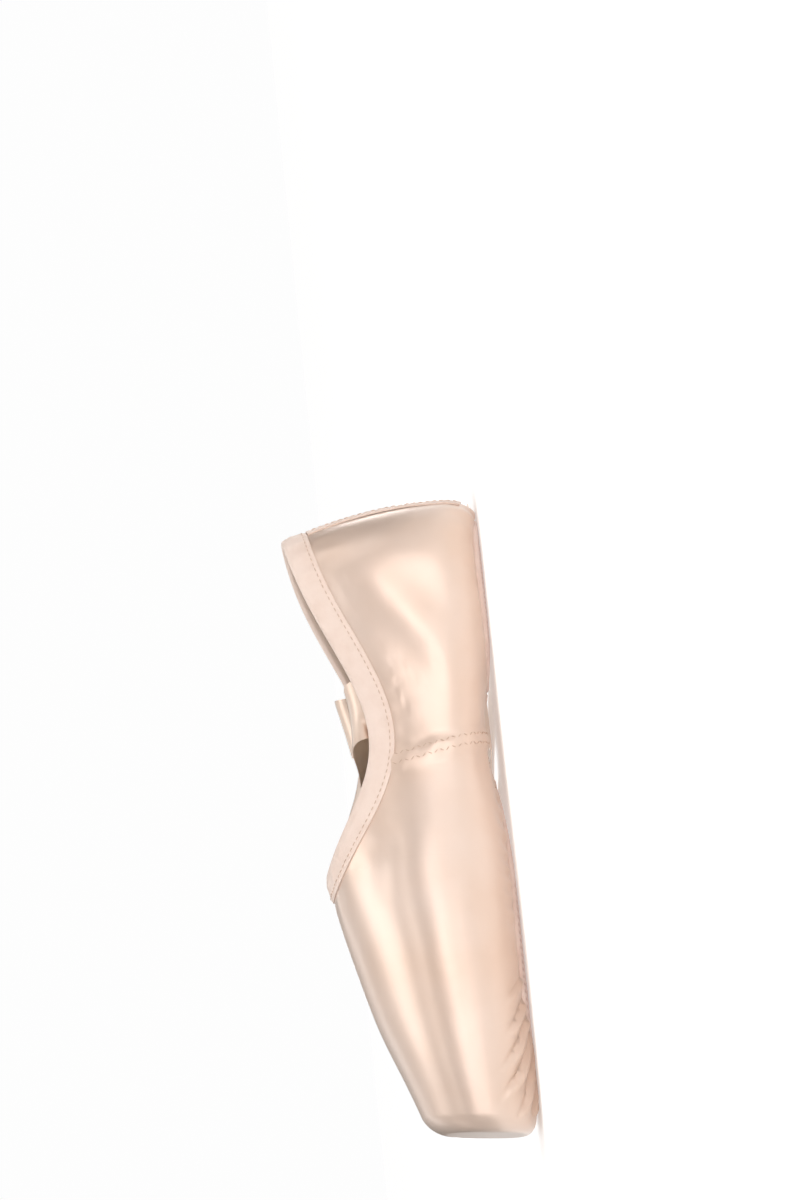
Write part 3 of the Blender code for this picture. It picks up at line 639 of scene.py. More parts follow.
patches = {
    "forepart_sole": {
        "start": 0.104, "length": 0.096, "width": 0.047, "widest": 0.72,
        "heelEnd": (2.5, 0.80), "toeEnd": (3.0, 0.48), "thickness": 0.0022,
    },
    "heel_sole": {
        "start": 0.0075, "length": 0.063, "width": 0.039, "widest": 0.42,
        "heelEnd": (2.4, 0.46), "toeEnd": (2.1, 0.52), "thickness": 0.0022,
    },
}
soleDetail = {
    "edgeRound": 0.0009, "flat": 0.00025,
    "grooveFrom": 0.36, "groovePitch": 0.0027, "grooveDepth": 0.00050, "groovePoint": 0.0105,
    "grooveSpread": 0.0105, "grooveMargin": 0.0020, "waverAcross": (0.0006, 0.017),
    "waverAlong": (0.0004, 0.043),
    "tickInside": 0.0021, "tickWidth": 0.0026, "tickPitch": 0.0019, "tickDepth": 0.00035,
}


def outlineShare(name, s):
    shape = patches[name]
    s, widest = np.asarray(s, float), shape["widest"]
    back = (1 - np.clip((widest - s) / widest, 0, 1) ** shape["heelEnd"][0]) ** shape["heelEnd"][1]
    front = (1 - np.clip((s - widest) / (1 - widest), 0, 1) ** shape["toeEnd"][0]) ** shape["toeEnd"][1]
    return np.where(s < widest, back, front)


def outline(name, count=700):  # the patch's edge as a closed line of (x, y), evenly spaced
    shape = patches[name]
    s = (1 - np.cos(np.linspace(0, math.pi, 1600))) / 2
    half = shape["width"] / 2 * outlineShare(name, s)
    x = shape["start"] + s * shape["length"]
    ring = np.vstack([np.stack([x, half], 1), np.stack([x, -half], 1)[::-1][1:]])
    along = travel(ring)
    at = np.linspace(0, along[-1], count + 1)[:-1]
    return follow(ring, along, at), along[-1]


def fromOutline(name, xy):  # distance outside a patch's edge (inside is negative) and the place along it
    ring, total = outline(name)
    number, away = distances(xy, ring)
    shape = patches[name]
    s = (xy[:, 0] - shape["start"]) / shape["length"]
    half = shape["width"] / 2 * outlineShare(name, np.clip(s, 0, 1))
    inside = (np.abs(xy[:, 1]) < half) & (s > 0) & (s < 1)
    return np.linalg.norm(away, axis=1) * np.where(inside, -1, 1), number / len(ring) * total


def makePatch(name, rows, columns):
    shape, d = patches[name], soleDetail
    even = np.linspace(0, 1, rows + 1)  # rows get closer at both ends
    s = 0.75 * even + 0.25 * (1 - np.cos(math.pi * even)) / 2
    s = np.where(even < 0.06, even / 0.06 * s[int(0.06 * rows)] * (even / 0.06), s)
    s = np.sort(np.concatenate([s, (1 - np.cos(np.linspace(0, math.pi, rows + 1))) / 2]))[::2]
    s[0], s[-1] = 0, 1
    turn = math.pi / 2 * 0.86  # columns get closer at both sides
    shares = np.sin(np.linspace(-1, 1, columns + 1) * turn) / math.sin(turn)
    half = shape["width"] / 2 * outlineShare(name, s)
    x = np.repeat((shape["start"] + s * shape["length"])[:, None], columns + 1, 1)
    y = half[:, None] * shares[None]
    base = np.maximum(0, bottomHeight(x, y) - last["proud"] - d["flat"])
    gap, along = fromOutline(name, np.stack([x, y], 2).reshape(-1, 2))
    gap, along = -gap.reshape(x.shape), along.reshape(x.shape)
    rounded = np.clip(1 - gap / d["edgeRound"], 0, 1) ** 2 * d["edgeRound"]
    cut = np.zeros_like(x)
    if name == "forepart_sole":
        (aside, asideEvery), (onward, onwardEvery) = d["waverAcross"], d["waverAlong"]
        wavy = aside * np.sin(y * 2 * math.pi / asideEvery + 1.1)
        wavy = wavy + onward * np.sin(x * 2 * math.pi / onwardEvery)
        point = d["groovePoint"] * np.exp(-((y / d["grooveSpread"]) ** 2))
        phase = (x - point + wavy) / d["groovePitch"]
        cut = d["grooveDepth"] * (0.5 + 0.5 * np.cos(2 * math.pi * phase)) ** 2.4
        share = (x - point - shape["start"]) / shape["length"]
        cut = cut * ramp(share, d["grooveFrom"] - 0.02, d["grooveFrom"] + 0.04)
        cut = cut * ramp(gap, d["grooveMargin"] - 0.0012, d["grooveMargin"])
    else:
        tick = (0.5 + 0.5 * np.cos(2 * math.pi * along / d["tickPitch"])) ** 2
        end = d["tickInside"] + d["tickWidth"]
        band = ramp(gap, d["tickInside"], d["tickInside"] + 0.0004) * (1 - ramp(gap, end, end + 0.0005))
        line = np.exp(-(((gap - d["tickInside"] - d["tickWidth"] - 0.0014) / 0.0004) ** 2))
        cut = d["tickDepth"] * np.maximum(tick * band, 0.8 * line)
    lower = np.stack([x, y, base + rounded + cut], 2)
    upper = np.stack([x, y, base + shape["thickness"]], 2)
    points, faces, uv = setMesh(lower, upper)
    points, faces, corners, first = weld(points, faces)
    made = makePiece(name + "Leather", points, faces, [soleLeather], uv, corners, sharp=45)
    # the cut's depth, which the leather material uses to paint shade into the grooves
    depth = np.concatenate([(cut / cut.max()).reshape(-1), np.zeros(cut.size)])[first]
    layer = made.data.attributes.new("cut", "FLOAT", "POINT")
    layer.data.foreach_set("value", depth.astype(np.float32))
    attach(made, "root")
    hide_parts(name)


makePatch("forepart_sole", 250, 56)
makePatch("heel_sole", 130, 64)
print("scene: sole patches cut")

upperDetail = {
    "ribs": {"heel": 30, "quarter": 40, "throat": 40, "vamp": 74, "edge": 18, "platform": 12},
    "columns": 104, "sidePower": 1.25,
    "seamStart": 0.088, "seamLean": 0.008, "seamWidth": 0.006, "seamRaise": 0.00085,
    "bindingWidth": 0.0085, "puckerPitch": 0.0072, "puckerDepth": 0.00015,
    "seatDepth": 0.0018, "weltHeight": 0.00055, "weltWidth": 0.0045,
    "gatherPitch": 0.0065, "gatherDepth": 0.00042, "uneven": 0.00010, "offFloor": 0.00012,
    "pleatRise": 1.2, "pleatSteep": 0.26, "pleatDip": 0.85, "pleatDipAt": 0.36, "pleatDipWide": 0.20,
}
# Soft troughs and ridges, for the left side (1) or the right (-1): points as (distance
# from the heel, share of the way from the sole's middle to the collar or crown), width, height.
creases = (
    (1, ((0.020, 0.88), (0.040, 0.66), (0.062, 0.48), (0.080, 0.40)), 0.0090, 0.00090),
    (1, ((0.016, 0.70), (0.034, 0.52), (0.056, 0.38)), 0.0070, -0.00034),
    (1, ((0.030, 0.86), (0.052, 0.70), (0.078, 0.62)), 0.0065, -0.00026),
    (1, ((0.106, 0.70), (0.130, 0.60), (0.160, 0.55), (0.196, 0.52)), 0.0120, 0.00080),
    (1, ((0.100, 0.50), (0.122, 0.44), (0.150, 0.42)), 0.0070, -0.00036),
    (1, ((0.118, 0.72), (0.136, 0.66), (0.150, 0.64)), 0.0050, -0.00040),
    (1, ((0.076, 0.22), (0.090, 0.30), (0.106, 0.33)), 0.0032, -0.00060),
    (1, ((0.080, 0.17), (0.096, 0.24), (0.114, 0.26)), 0.0030, 0.00050),
    (1, ((0.084, 0.40), (0.096, 0.36), (0.108, 0.38)), 0.0034, -0.00045),
    (1, ((0.070, 0.36), (0.082, 0.31), (0.094, 0.22)), 0.0030, 0.00040),
    (1, ((0.136, 0.34), (0.152, 0.37), (0.170, 0.35)), 0.0040, -0.00040),
    (-1, ((0.022, 0.86), (0.044, 0.64), (0.070, 0.46)), 0.0100, 0.00085),
    (-1, ((0.032, 0.62), (0.054, 0.48), (0.074, 0.34)), 0.0055, -0.00050),
    (-1, ((0.108, 0.66), (0.138, 0.58), (0.188, 0.54)), 0.0120, 0.00075),
    (-1, ((0.078, 0.20), (0.094, 0.29), (0.110, 0.30)), 0.0032, -0.00060),
    (-1, ((0.086, 0.42), (0.098, 0.37), (0.112, 0.39)), 0.0036, 0.00045),
    (-1, ((0.104, 0.48), (0.128, 0.42), (0.150, 0.41)), 0.0058, -0.00050),
)
# Knife pleats at the toe: from a point on the front patch's edge to a point on the box,
# both (distance from the heel, to the left, height), width and height of the fold.
pleats = (
    ((0.1995, 0.0060, 0.001), (0.2290, 0.0052, 0.0150), 0.0042, 0.00169),
    ((0.1990, 0.0115, 0.001), (0.2290, 0.0125, 0.0140), 0.0045, 0.00135),
    ((0.1975, 0.0158, 0.001), (0.2270, 0.0200, 0.0130), 0.0046, 0.00142),
    ((0.1945, 0.0195, 0.001), (0.2200, 0.0270, 0.0150), 0.0046, 0.00142),
    ((0.1900, 0.0220, 0.001), (0.2100, 0.0310, 0.0140), 0.0044, 0.00128),
    ((0.1840, 0.0235, 0.001), (0.1985, 0.0330, 0.0120), 0.0040, 0.00101),
    ((0.1760, 0.0240, 0.001), (0.1860, 0.0350, 0.0100), 0.0036, 0.00074),
    ((0.1995, -0.0020, 0.001), (0.2290, -0.0030, 0.0145), 0.0040, 0.00115),
    ((0.1992, -0.0082, 0.001), (0.2290, -0.0100, 0.0150), 0.0044, 0.00135),
    ((0.1980, -0.0140, 0.001), (0.2280, -0.0180, 0.0135), 0.0046, 0.00142),
    ((0.1955, -0.0185, 0.001), (0.2220, -0.0255, 0.0150), 0.0046, 0.00135),
    ((0.1915, -0.0215, 0.001), (0.2130, -0.0300, 0.0140), 0.0044, 0.00128),
    ((0.1850, -0.0232, 0.001), (0.2000, -0.0330, 0.0120), 0.0040, 0.00101),
    ((0.1770, -0.0240, 0.001), (0.1870, -0.0350, 0.0100), 0.0036, 0.00074),
)


def surfacePoint(x, share, side):
    points, _ = rib(x, 1.0, np.array([0.0, share, 1.0]))
    return points[1] * (1, side, 1)


def smoothLine(points, count):
    points = np.array(points, float)
    along = travel(points)
    at = np.linspace(0, along[-1], count)
    return np.stack([spline(along, points[:, k])(at) for k in range(3)], axis=1)


def creaseHeight(points, line, width, height):
    low, high = line.min(axis=0) - 3 * width, line.max(axis=0) + 3 * width
    chosen = np.flatnonzero(((points > low) & (points < high)).all(axis=1))
    field = np.zeros(len(points))
    if len(chosen):
        number, away = distances(points[chosen], line)
        t = number / (len(line) - 1)
        taper = ramp(t, 0.0, 0.35) * (1 - ramp(t, 0.6, 1.0))
        field[chosen] = height * np.exp(-((away**2).sum(axis=1)) / width**2) * taper
    return field


def pleatHeight(points, normals, start, end, width, height):  # a fold laid over to one side
    d, start = upperDetail, np.array(start)
    line = np.array([near(start + t * (end - start))[0] for t in np.linspace(0, 1, 40)])
    tangents = np.gradient(line, axis=0)
    tangents /= np.linalg.norm(tangents, axis=1)[:, None]
    low, high = line.min(axis=0) - 2 * width, line.max(axis=0) + 2 * width
    chosen = np.flatnonzero(((points > low) & (points < high)).all(axis=1))
    field = np.zeros(len(points))
    number, away = distances(points[chosen], line)
    lean = 1 if start[1] > 0 else -1
    across = np.einsum("ij,ij->i", away, np.cross(tangents[number], normals[chosen])) * lean
    beyond = np.abs(np.einsum("ij,ij->i", away, tangents[number]))
    t = number / (len(line) - 1)
    taper = ramp(t, -0.05, 0.10) * (1 - ramp(t, 0.58, 1.0)) * (1 - ramp(beyond, 0.0005, 0.003))
    profile = ramp(across, -width, 0.0) * (1 - ramp(across, 0.0, d["pleatSteep"] * width))
    dip = -d["pleatDip"] * np.exp(-(((across - d["pleatDipAt"] * width) / (d["pleatDipWide"] * width)) ** 2))
    taper *= 1 - ramp(normals[chosen][:, 0], 0.25, 0.65)  # the platform stays flat
    field[chosen] = d["pleatRise"] * height * (profile + dip) * taper
    return field


collarRibs = [x for x, _ in ribPlaces(42, 48, 48, 1, 1, 1) if x < last["throat"] + 1e-9]
rightEdge = [rib(x, 1.0, (0.0, 1.0))[0][-1] for x in collarRibs][::-1]
collarLine = np.array(rightEdge + [p * (1, -1, 1) for p in rightEdge[::-1][1:-1]])
collarLength = travel(collarLine)


def puckers(at, pitch):  # uneven gathers along the collar
    return np.sin(2 * math.pi * at / pitch + 1.4 * np.sin(2 * math.pi * at / 0.037)) * (
        0.65 + 0.35 * np.sin(2 * math.pi * at / 0.061 + 0.8)
    )


def seamHeight(points):
    d = upperDetail
    height = (points[:, 2] - last["proud"]) / last["sideHeight"]
    away = (points[:, 0] - d["seamStart"] - d["seamLean"] * height) / (d["seamWidth"] / 2)
    ridge = ramp(away, -1.05, -0.75) * (1 - ramp(away, 0.75, 1.6))
    valley = 0
    for deep, at, wide in ((0.30, -0.55, 0.16), (0.30, 0.55, 0.16), (0.25, -1.2, 0.22)):
        valley = valley + deep * np.exp(-(((away - at) / wide) ** 2))
    top = last["sideHeight"] - 0.6 * d["bindingWidth"], last["sideHeight"] - 0.2 * d["bindingWidth"]
    return d["seamRaise"] * (ridge - valley) * (1 - ramp(points[:, 2], *top))


def satinHeight(points, normals):
    d = upperDetail
    number, away = distances(points, collarLine)
    fromCollar = np.linalg.norm(away, axis=1)
    free = ramp(fromCollar, d["bindingWidth"], d["bindingWidth"] + 0.004)
    gather = puckers(collarLength[number], d["puckerPitch"]) * (1 - ramp(fromCollar, 0.010, 0.024))
    stiff = 1 - ramp(points[:, 0], 0.150, 0.185)
    field = d["puckerDepth"] * gather * free * (0.4 + 0.6 * stiff)
    for side, line, width, height in creases:
        path = smoothLine([surfacePoint(x, share, side) for x, share in line], 60)
        field += creaseHeight(points, path, width, height) * free
    x, y, z = points.T
    uneven = np.sin(x * 92 + 2.1 * y * 60) * np.sin(z * 110 + x * 37 + 0.7)
    uneven = uneven + 0.6 * np.sin(x * 171 - z * 88 + y * 40)
    field += d["uneven"] * uneven * free * (0.35 + 0.65 * stiff)
    field += seamHeight(points)
    for pleat in pleats:
        field += pleatHeight(points, normals, *pleat)
    under = np.flatnonzero((normals[:, 2] < -0.15) & (z < 0.016))
    for name in patches:
        gap, along = fromOutline(name, points[under][:, :2])
        welt = np.exp(-(((gap - d["weltWidth"] * 0.55) / (d["weltWidth"] * 0.42)) ** 2))
        welt = d["weltHeight"] * welt
        welt *= 0.8 + 0.35 * np.sin(2 * math.pi * along / 0.0131 + 1.7 * np.sin(along * 90))
        pinch = np.cos(2 * math.pi * along / d["gatherPitch"] + 1.9 * np.sin(2 * math.pi * along / 0.045))
        toeEnd = patches[name]["start"] + 0.80 * patches[name]["length"]
        quiet = 1 - ramp(points[under][:, 0], toeEnd - 0.01, toeEnd) if name == "forepart_sole" else 0.6
        pinch = pinch * d["gatherDepth"] * ramp(gap, -0.0002, 0.0012)
        pinch = pinch * (1 - ramp(gap, 0.003, 0.013)) * quiet
        sunk = -d["seatDepth"] * (1 - ramp(gap, -0.0016, -0.0001))
        outside = gap > -0.0001
        raised = field[under] + (welt + pinch) * ramp(gap, -0.0001, 0.0010)
        field[under] = np.where(outside, raised, sunk)
    return field


def upperWall(points, normals):
    start = last["throat"] + 1.2 * upperDetail["bindingWidth"]
    end = last["throat"] + 0.5 * last["vampLength"]
    side = last["quarterWall"] + (last["boxWall"] - last["quarterWall"]) * ramp(points[:, 0], start, end)
    return side + (last["bottomWall"] - side) * ramp(-normals[:, 2], 0.45, 0.85)


def makeUpper():
    d = upperDetail
    shares = np.linspace(0, 1, d["columns"] + 1) ** d["sidePower"]
    grid, uv = bareSkin(ribPlaces(**d["ribs"]), shares)
    flatUv = uv.reshape(-1, 2)
    points, faces, corners, first = weld(grid.reshape(-1, 3), gridFaces(*grid.shape[:2]))
    normals = pointNormals(points, faces)
    height = satinHeight(points, normals)
    outer = points + normals * height[:, None]
    low = (normals[:, 2] < -0.3) & (outer[:, 2] < d["offFloor"])
    outer[low, 2] = d["offFloor"]
    inner = points - normals * upperWall(points, normals)[:, None]
    count = len(points)
    edges = {}
    for face in faces:
        for i, v in enumerate(face):
            edges[(face[i - 1], v)] = True
    rim = [(b, a, a + count, b + count) for a, b in edges if (b, a) not in edges]
    inside = [tuple(v + count for v in face[::-1]) for face in faces]
    insideCorners = [tuple(ring[::-1]) for ring in corners]
    rimCorners = [tuple(int(first[v % count]) for v in face) for face in rim]
    everyFace = faces + inside + rim
    slots = [0] * len(faces) + [1] * len(inside) + [0] * len(rim)
    made = makePiece(
        "satinUpper", np.vstack([outer, inner]), everyFace, [satin, liningCloth], flatUv,
        corners + insideCorners + rimCorners, slots, sharp=70,
    )
    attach(made, "root")
    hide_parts("upper")
    return surfaceTree(outer, faces)


onSatin = partial(closest, makeUpper())
print("scene: satin drawn over the last")


binding = {
    "width": 0.0085, "inside": 0.0070, "gap": 0.0004, "cloth": 0.0006, "roll": 0.00035,
    "rollAt": 0.0026, "rollWide": 0.0016, "pucker": 0.00022, "puckerPitch": 0.0060,
    "edge": 0.00022, "settled": 0.00034, "capRise": 0.0003,
}


def bindingFrames():
    frames = []
    for i, point in enumerate(collarLine):
        along = collarLine[(i + 1) % len(collarLine)] - collarLine[i - 1]
        _, normal = near(point)
        down = unit(np.cross(along, normal))
        frames.append((point, down, unit(np.cross(down, along))))
    return frames


def makeBinding():
    d = binding
    outSteps = np.array([1.0, 0.97, 0.9, 0.78, 0.64, 0.5, 0.38, 0.27, 0.17, 0.08])
    inSteps = np.array([0.08, 0.2, 0.35, 0.5, 0.65, 0.8, 0.92, 1.0])
    rings = []
    wall, far = last["quarterWall"], d["gap"] + d["cloth"]
    inNear = -(wall + 1.5 * d["gap"])
    frames = bindingFrames()
    for (point, down, normal), at in zip(frames, collarLength):
        fold = puckers(at, d["puckerPitch"])
        outer, under = [], []
        for share in outSteps:
            deep = share * d["width"]
            place, out = near(point + down * deep) if share > 0.2 else (point + down * deep, normal)
            soft = d["pucker"] * fold * ramp(share, 0.1, 0.5) * (1 - 0.75 * ramp(share, 0.8, 1.0))
            soft += d["roll"] * math.exp(-(((deep - d["rollAt"]) / d["rollWide"]) ** 2))
            edge = d["edge"] * ramp(share, 0.93, 1.0)
            settled = d["settled"] * ramp(share, 0.72, 1.0)
            outer.append(place + out * (far + max(0.0, soft) - edge - settled))
            under.append(place + out * (d["gap"] - settled))
        spread = (far + wall + 1.5 * d["gap"] + d["cloth"]) / 2
        centre = point + normal * (far - spread)
        top = []
        for angle in np.linspace(0.12, 0.88, 7) * math.pi:
            top.append(centre + normal * math.cos(angle) * spread - down * math.sin(angle) * far * 1.35)
        inner, back = [], []
        for share in inSteps:
            deep = share * d["inside"]
            place, out = near(point + down * deep) if share > 0.25 else (point + down * deep, normal)
            soft = 0.5 * d["pucker"] * fold * ramp(share, 0.1, 0.6)
            inner.append(place + out * (inNear - d["cloth"] - max(0.0, soft)))
            back.append(place + out * inNear)
        cap = [point + normal * away - down * d["capRise"] for away in (inNear, d["gap"])]
        rings.append(outer + top + inner + back[::-1] + cap + under[::-1])
    rings = np.array(rings)
    rows, count = rings.shape[:2]
    closed = np.concatenate([rings, rings[:, :1]], axis=1)
    around = np.array([travel(ring) for ring in closed])
    uv = np.stack([np.repeat(collarLength[:, None], count + 1, 1), around], axis=2)
    uv = np.concatenate([uv, uv[:1] + (collarLength[1], 0)], axis=0)
    uv[-1, :, 0] = collarLength[-1] + np.linalg.norm(collarLine[0] - collarLine[-1])
    closed = np.concatenate([closed, closed[:1]], axis=0)
    faces = gridFaces(rows + 1, count + 1, False)
    points, faces, corners, _ = weld(closed.reshape(-1, 3), faces)
    made = makePiece("toplineBinding", points, faces, [bindingCloth], uv.reshape(-1, 2), corners, sharp=55)
    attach(made, "root")
    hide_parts("topline_binding")
    return surfaceTree(points, faces), frames


bindingTree, collarFrames = makeBinding()
onBinding = partial(closest, bindingTree)
print("scene: binding folded over the collar")

tape = {
    "width": 0.022, "gap": 0.0003, "cloth": 0.0006, "stripe": 0.00010, "settled": 0.00024,
    "wrinkle": 0.00008, "rows": 70, "columns": 26,
}


def tapeLine():
    line, _ = rib(0, 1.0, np.linspace(0, 1, 201))
    line = line[line[:, 2] < last["heelHeight"] - binding["width"] + binding["gap"]]
    picks = np.linspace(len(line) - 1, int(0.10 * len(line)), tape["rows"] + 1)
    return follow(line, np.arange(len(line)), picks)


def makeTape():
    d = tape
    under, outer = np.zeros((2, d["rows"] + 1, d["columns"] + 1, 3))
    for r, point in enumerate(tapeLine()):
        for c, share in enumerate(np.linspace(-1, 1, d["columns"] + 1)):
            place, normal = near(point + (0, share * d["width"] / 2, 0))
            stripe = d["stripe"] * math.cos(share * math.pi * 3) * (1 - abs(share) ** 6)
            settled = d["settled"] * ramp(abs(share), 0.80, 1.0)
            wrinkle = d["wrinkle"] * math.sin(r * 0.9 + share * 2)
            under[r, c] = place + normal * (d["gap"] - settled)
            outer[r, c] = place + normal * (d["gap"] + d["cloth"] + stripe + wrinkle - 1.3 * settled)
    points, faces, uv = setMesh(outer, under)
    made = makePiece("heelTape", points, faces, [bindingCloth], uv, sharp=50)
    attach(made, "root")
    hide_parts("heel_stay")


makeTape()

sock = {
    "heelSpace": 0.013, "toeSpace": 0.030, "spread": 0.70, "gap": 0.0006, "thickness": 0.0016,
    "roundEnd": 0.24, "roundEdge": 0.0006,
}


def makeSock(rows=110, columns=40):
    d = sock
    normals = pointNormals(lastPoints, lastFaces)
    inner = lastPoints - normals * upperWall(lastPoints, normals)[:, None]
    inside = surfaceTree(inner, [face[::-1] for face in lastFaces])
    start, end = d["heelSpace"], last["length"] - d["toeSpace"]
    lower = np.zeros((rows + 1, columns + 1, 3))
    for r, s in enumerate((1 - np.cos(np.linspace(0, math.pi, rows + 1))) / 2):
        x = start + s * (end - start)
        closing = max(0.0, 1 - s / d["roundEnd"], 1 - (1 - s) / d["roundEnd"])
        size = section(x)
        half = d["spread"] * size["halfWidth"] * (1 - closing**2.4) ** (1 / 2.4)
        for c, share in enumerate(np.linspace(-1, 1, columns + 1)):
            above = Vector((x, half * share, size["widest"]))
            place, normal, _, _ = inside.ray_cast(above, Vector((0, 0, -1)))
            lower[r, c] = x, half * share, place.z + d["gap"] / max(0.5, abs(normal.z))
    shares = np.abs(np.linspace(-1, 1, columns + 1))
    rounded = np.clip((shares - 0.9) / 0.1, 0, 1) ** 2 * d["roundEdge"]
    upper = lower + (0, 0, d["thickness"])
    upper[:, :, 2] -= rounded[None]
    points, faces, uv = setMesh(lower, upper)
    points, faces, corners, _ = weld(points, faces)
    made = makePiece("insoleSock", points, faces, [sockCloth], uv, corners, sharp=50)
    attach(made, "root")
    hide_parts("insole")


makeSock()
print("scene: heel tape and sock laid")

stitches = {
    "length": 0.0016, "radius": 0.00021, "pitch": 0.0024, "seamPitch": 0.0021, "archPitch": 0.0017,
    "slant": 0.75, "seamApart": 0.00165, "lift": 0.00005, "bindingLift": 0.00004,
}


def stitchTree():  # a bead of thread on each point, turned to its aim
    tree = bpy.data.node_groups.new("stitchRows", "GeometryNodeTree")
    tree.is_modifier = True
    kinds = {"Geometry": "Geometry", "Stitch Length": "Float", "Thread Radius": "Float"}
    sockets = {
        name: tree.interface.new_socket(name, in_out="INPUT", socket_type="NodeSocket" + kind)
        for name, kind in kinds.items()
    }
    tree.interface.new_socket("Geometry", in_out="OUTPUT", socket_type="NodeSocketGeometry")
    entry = tree.nodes.new("NodeGroupInput").outputs
    bead = addNode(tree, "GeometryNodeMeshUVSphere", Segments=7, Rings=5, Radius=1.0)
    halfLength = addNode(tree, "ShaderNodeMath", Value=entry["Stitch Length"])
    halfLength.operation = "MULTIPLY"
    halfLength.inputs[1].default_value = 0.5
    size = addNode(
        tree, "ShaderNodeCombineXYZ", X=entry["Thread Radius"], Y=entry["Thread Radius"],
        Z=halfLength.outputs[0],
    )
    aim = addNode(tree, "GeometryNodeInputNamedAttribute", Name="aim")
    aim.data_type = "FLOAT_VECTOR"
    turn = addNode(tree, "FunctionNodeAlignRotationToVector", Vector=aim.outputs["Attribute"])
    turn.axis = "Z"
    beads = addNode(
        tree, "GeometryNodeInstanceOnPoints", Points=entry["Geometry"], Instance=bead.outputs["Mesh"],
        Rotation=turn.outputs["Rotation"], Scale=size.outputs["Vector"],
    )
    real = addNode(tree, "GeometryNodeRealizeInstances", Geometry=beads.outputs["Instances"])
    smooth = addNode(tree, "GeometryNodeSetShadeSmooth", Geometry=real.outputs["Geometry"])
    paint = addNode(
        tree, "GeometryNodeSetMaterial", Geometry=smooth.outputs["Geometry"], Material=threadMaterial
    )
    addNode(tree, "NodeGroupOutput", Geometry=paint.outputs["Geometry"])
    return tree, {name: socket.identifier for name, socket in sockets.items()}


stitchNodes, stitchSockets = stitchTree()


def sew(name, line, pitch, lift, snap, closed=False, zigzag=False, crosswise=False):
    points = np.array(line)
    if closed:
        points = np.vstack([points, points[:1]])
    along = travel(points)
    count = max(2, int(along[-1] / pitch))
    at = (np.arange(count) + 0.5) * along[-1] / count
    laid, turned = [], []
    for k, (place, aim) in enumerate(zip(follow(points, along, at), headings(points, along, at, 0.0004))):
        spot, normal = snap(place)
        aim = unit(aim - normal * aim.dot(normal))
        if crosswise:
            aim = np.cross(normal, aim)
        if zigzag:
            aim = unit(aim + np.cross(normal, aim) * stitches["slant"] * (1 if k % 2 else -1))
        laid.append(tuple(spot + normal * lift - (last["middle"], 0, 0)))
        turned.append(aim)
    mesh = bpy.data.meshes.new(name + "Points")
    mesh.from_pydata(laid, [], [])
    layer = mesh.attributes.new("aim", "FLOAT_VECTOR", "POINT")
    layer.data.foreach_set("vector", np.array(turned).reshape(-1).astype(np.float32))
    base = addObject(name + "Points", mesh)
    modifier = base.modifiers.new("stitchRows", "NODES")
    modifier.node_group = stitchNodes
    modifier[stitchSockets["Stitch Length"]] = stitches["length"]
    modifier[stitchSockets["Thread Radius"]] = stitches["radius"]
    bpy.context.view_layer.update()
    ready = base.evaluated_get(bpy.context.evaluated_depsgraph_get())
    made = addObject(name, bpy.data.meshes.new_from_object(ready))
    bpy.data.objects.remove(base)
    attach(made, "root")


for rowName, depth, fromEdge, out in (
    ("", binding["width"], 0.0013, 0.002), ("Inside", binding["inside"], 0.0012, -0.004),
):
    row = [
        near(p + down * (depth - fromEdge))[0] + out * near(p + down * depth)[1]
        for p, down, _ in collarFrames
    ]
    sew("bindingStitches" + rowName, row, stitches["pitch"], stitches["bindingLift"], onBinding,
        closed=True)


def seamRow(side, away):  # one row of the side seam, from below the binding to the sole's middle
    row = []
    for share in np.linspace(0.868, 0.03, 46):
        x = upperDetail["seamStart"]
        for _ in range(6):  # the seam leans, so its place along the shoe follows its height
            point = surfacePoint(x, share, side)
            height = (point[2] - last["proud"]) / last["sideHeight"]
            x = upperDetail["seamStart"] + upperDetail["seamLean"] * height
        row.append(surfacePoint(x + away, share, side))
    return row


for side, sideName in ((1, "Left"), (-1, "Right")):
    for away, rowName in ((-stitches["seamApart"], "Back"), (stitches["seamApart"], "Front")):
        sew("seamStitches" + sideName + rowName, seamRow(side, away), stitches["seamPitch"],
            stitches["lift"], onSatin, zigzag=True)

archLane = {"start": 0.094, "end": 0.1085, "aside": 0.0058, "spread": 0.10}
for side, sideName in ((1, "Left"), (-1, "Right")):  # ticks across the arch, up to the front patch
    lane = []
    for x in np.linspace(archLane["start"], archLane["end"], 20):
        y = side * (archLane["aside"] + archLane["spread"] * (x - archLane["start"]))
        lane.append((x, y, float(bottomHeight(x, y))))
    sew("archStitches" + sideName, lane, stitches["archPitch"], stitches["lift"], onSatin,
        crosswise=True)

for name in ribbonRoutes:  # a box of stitches holds each ribbon inside its quarter
    side = 1 if name == "ribbon_left" else -1
    rows = sewnEnd(side)
    box = [
        follow(rowBetween(rows, step), (0, 0.5, 1), [across])[0]
        for step, across in ((0.25, 0.12), (0.25, 0.88), (2.4, 0.88), (2.4, 0.12))
    ]
    inward = np.array((0, -1.0 * side, 0))
    sew(name + "Stitches", box, stitches["pitch"], ribbons["thickness"] / 2,
        lambda p, inward=inward: (p, inward), closed=True)

for share, sideName in ((-0.72, "Right"), (0.72, "Left")):
    lane = [near(p + (0, share * tape["width"] / 2, 0)) for p in tapeLine()[2:-1]]
    lane = [place + normal * (tape["gap"] + tape["cloth"] + 0.0001) for place, normal in lane]
    sew("tapeStitches" + sideName, lane, stitches["pitch"], 0.0, lambda p: (p, near(p)[1]))
print("scene: stitches sewn")

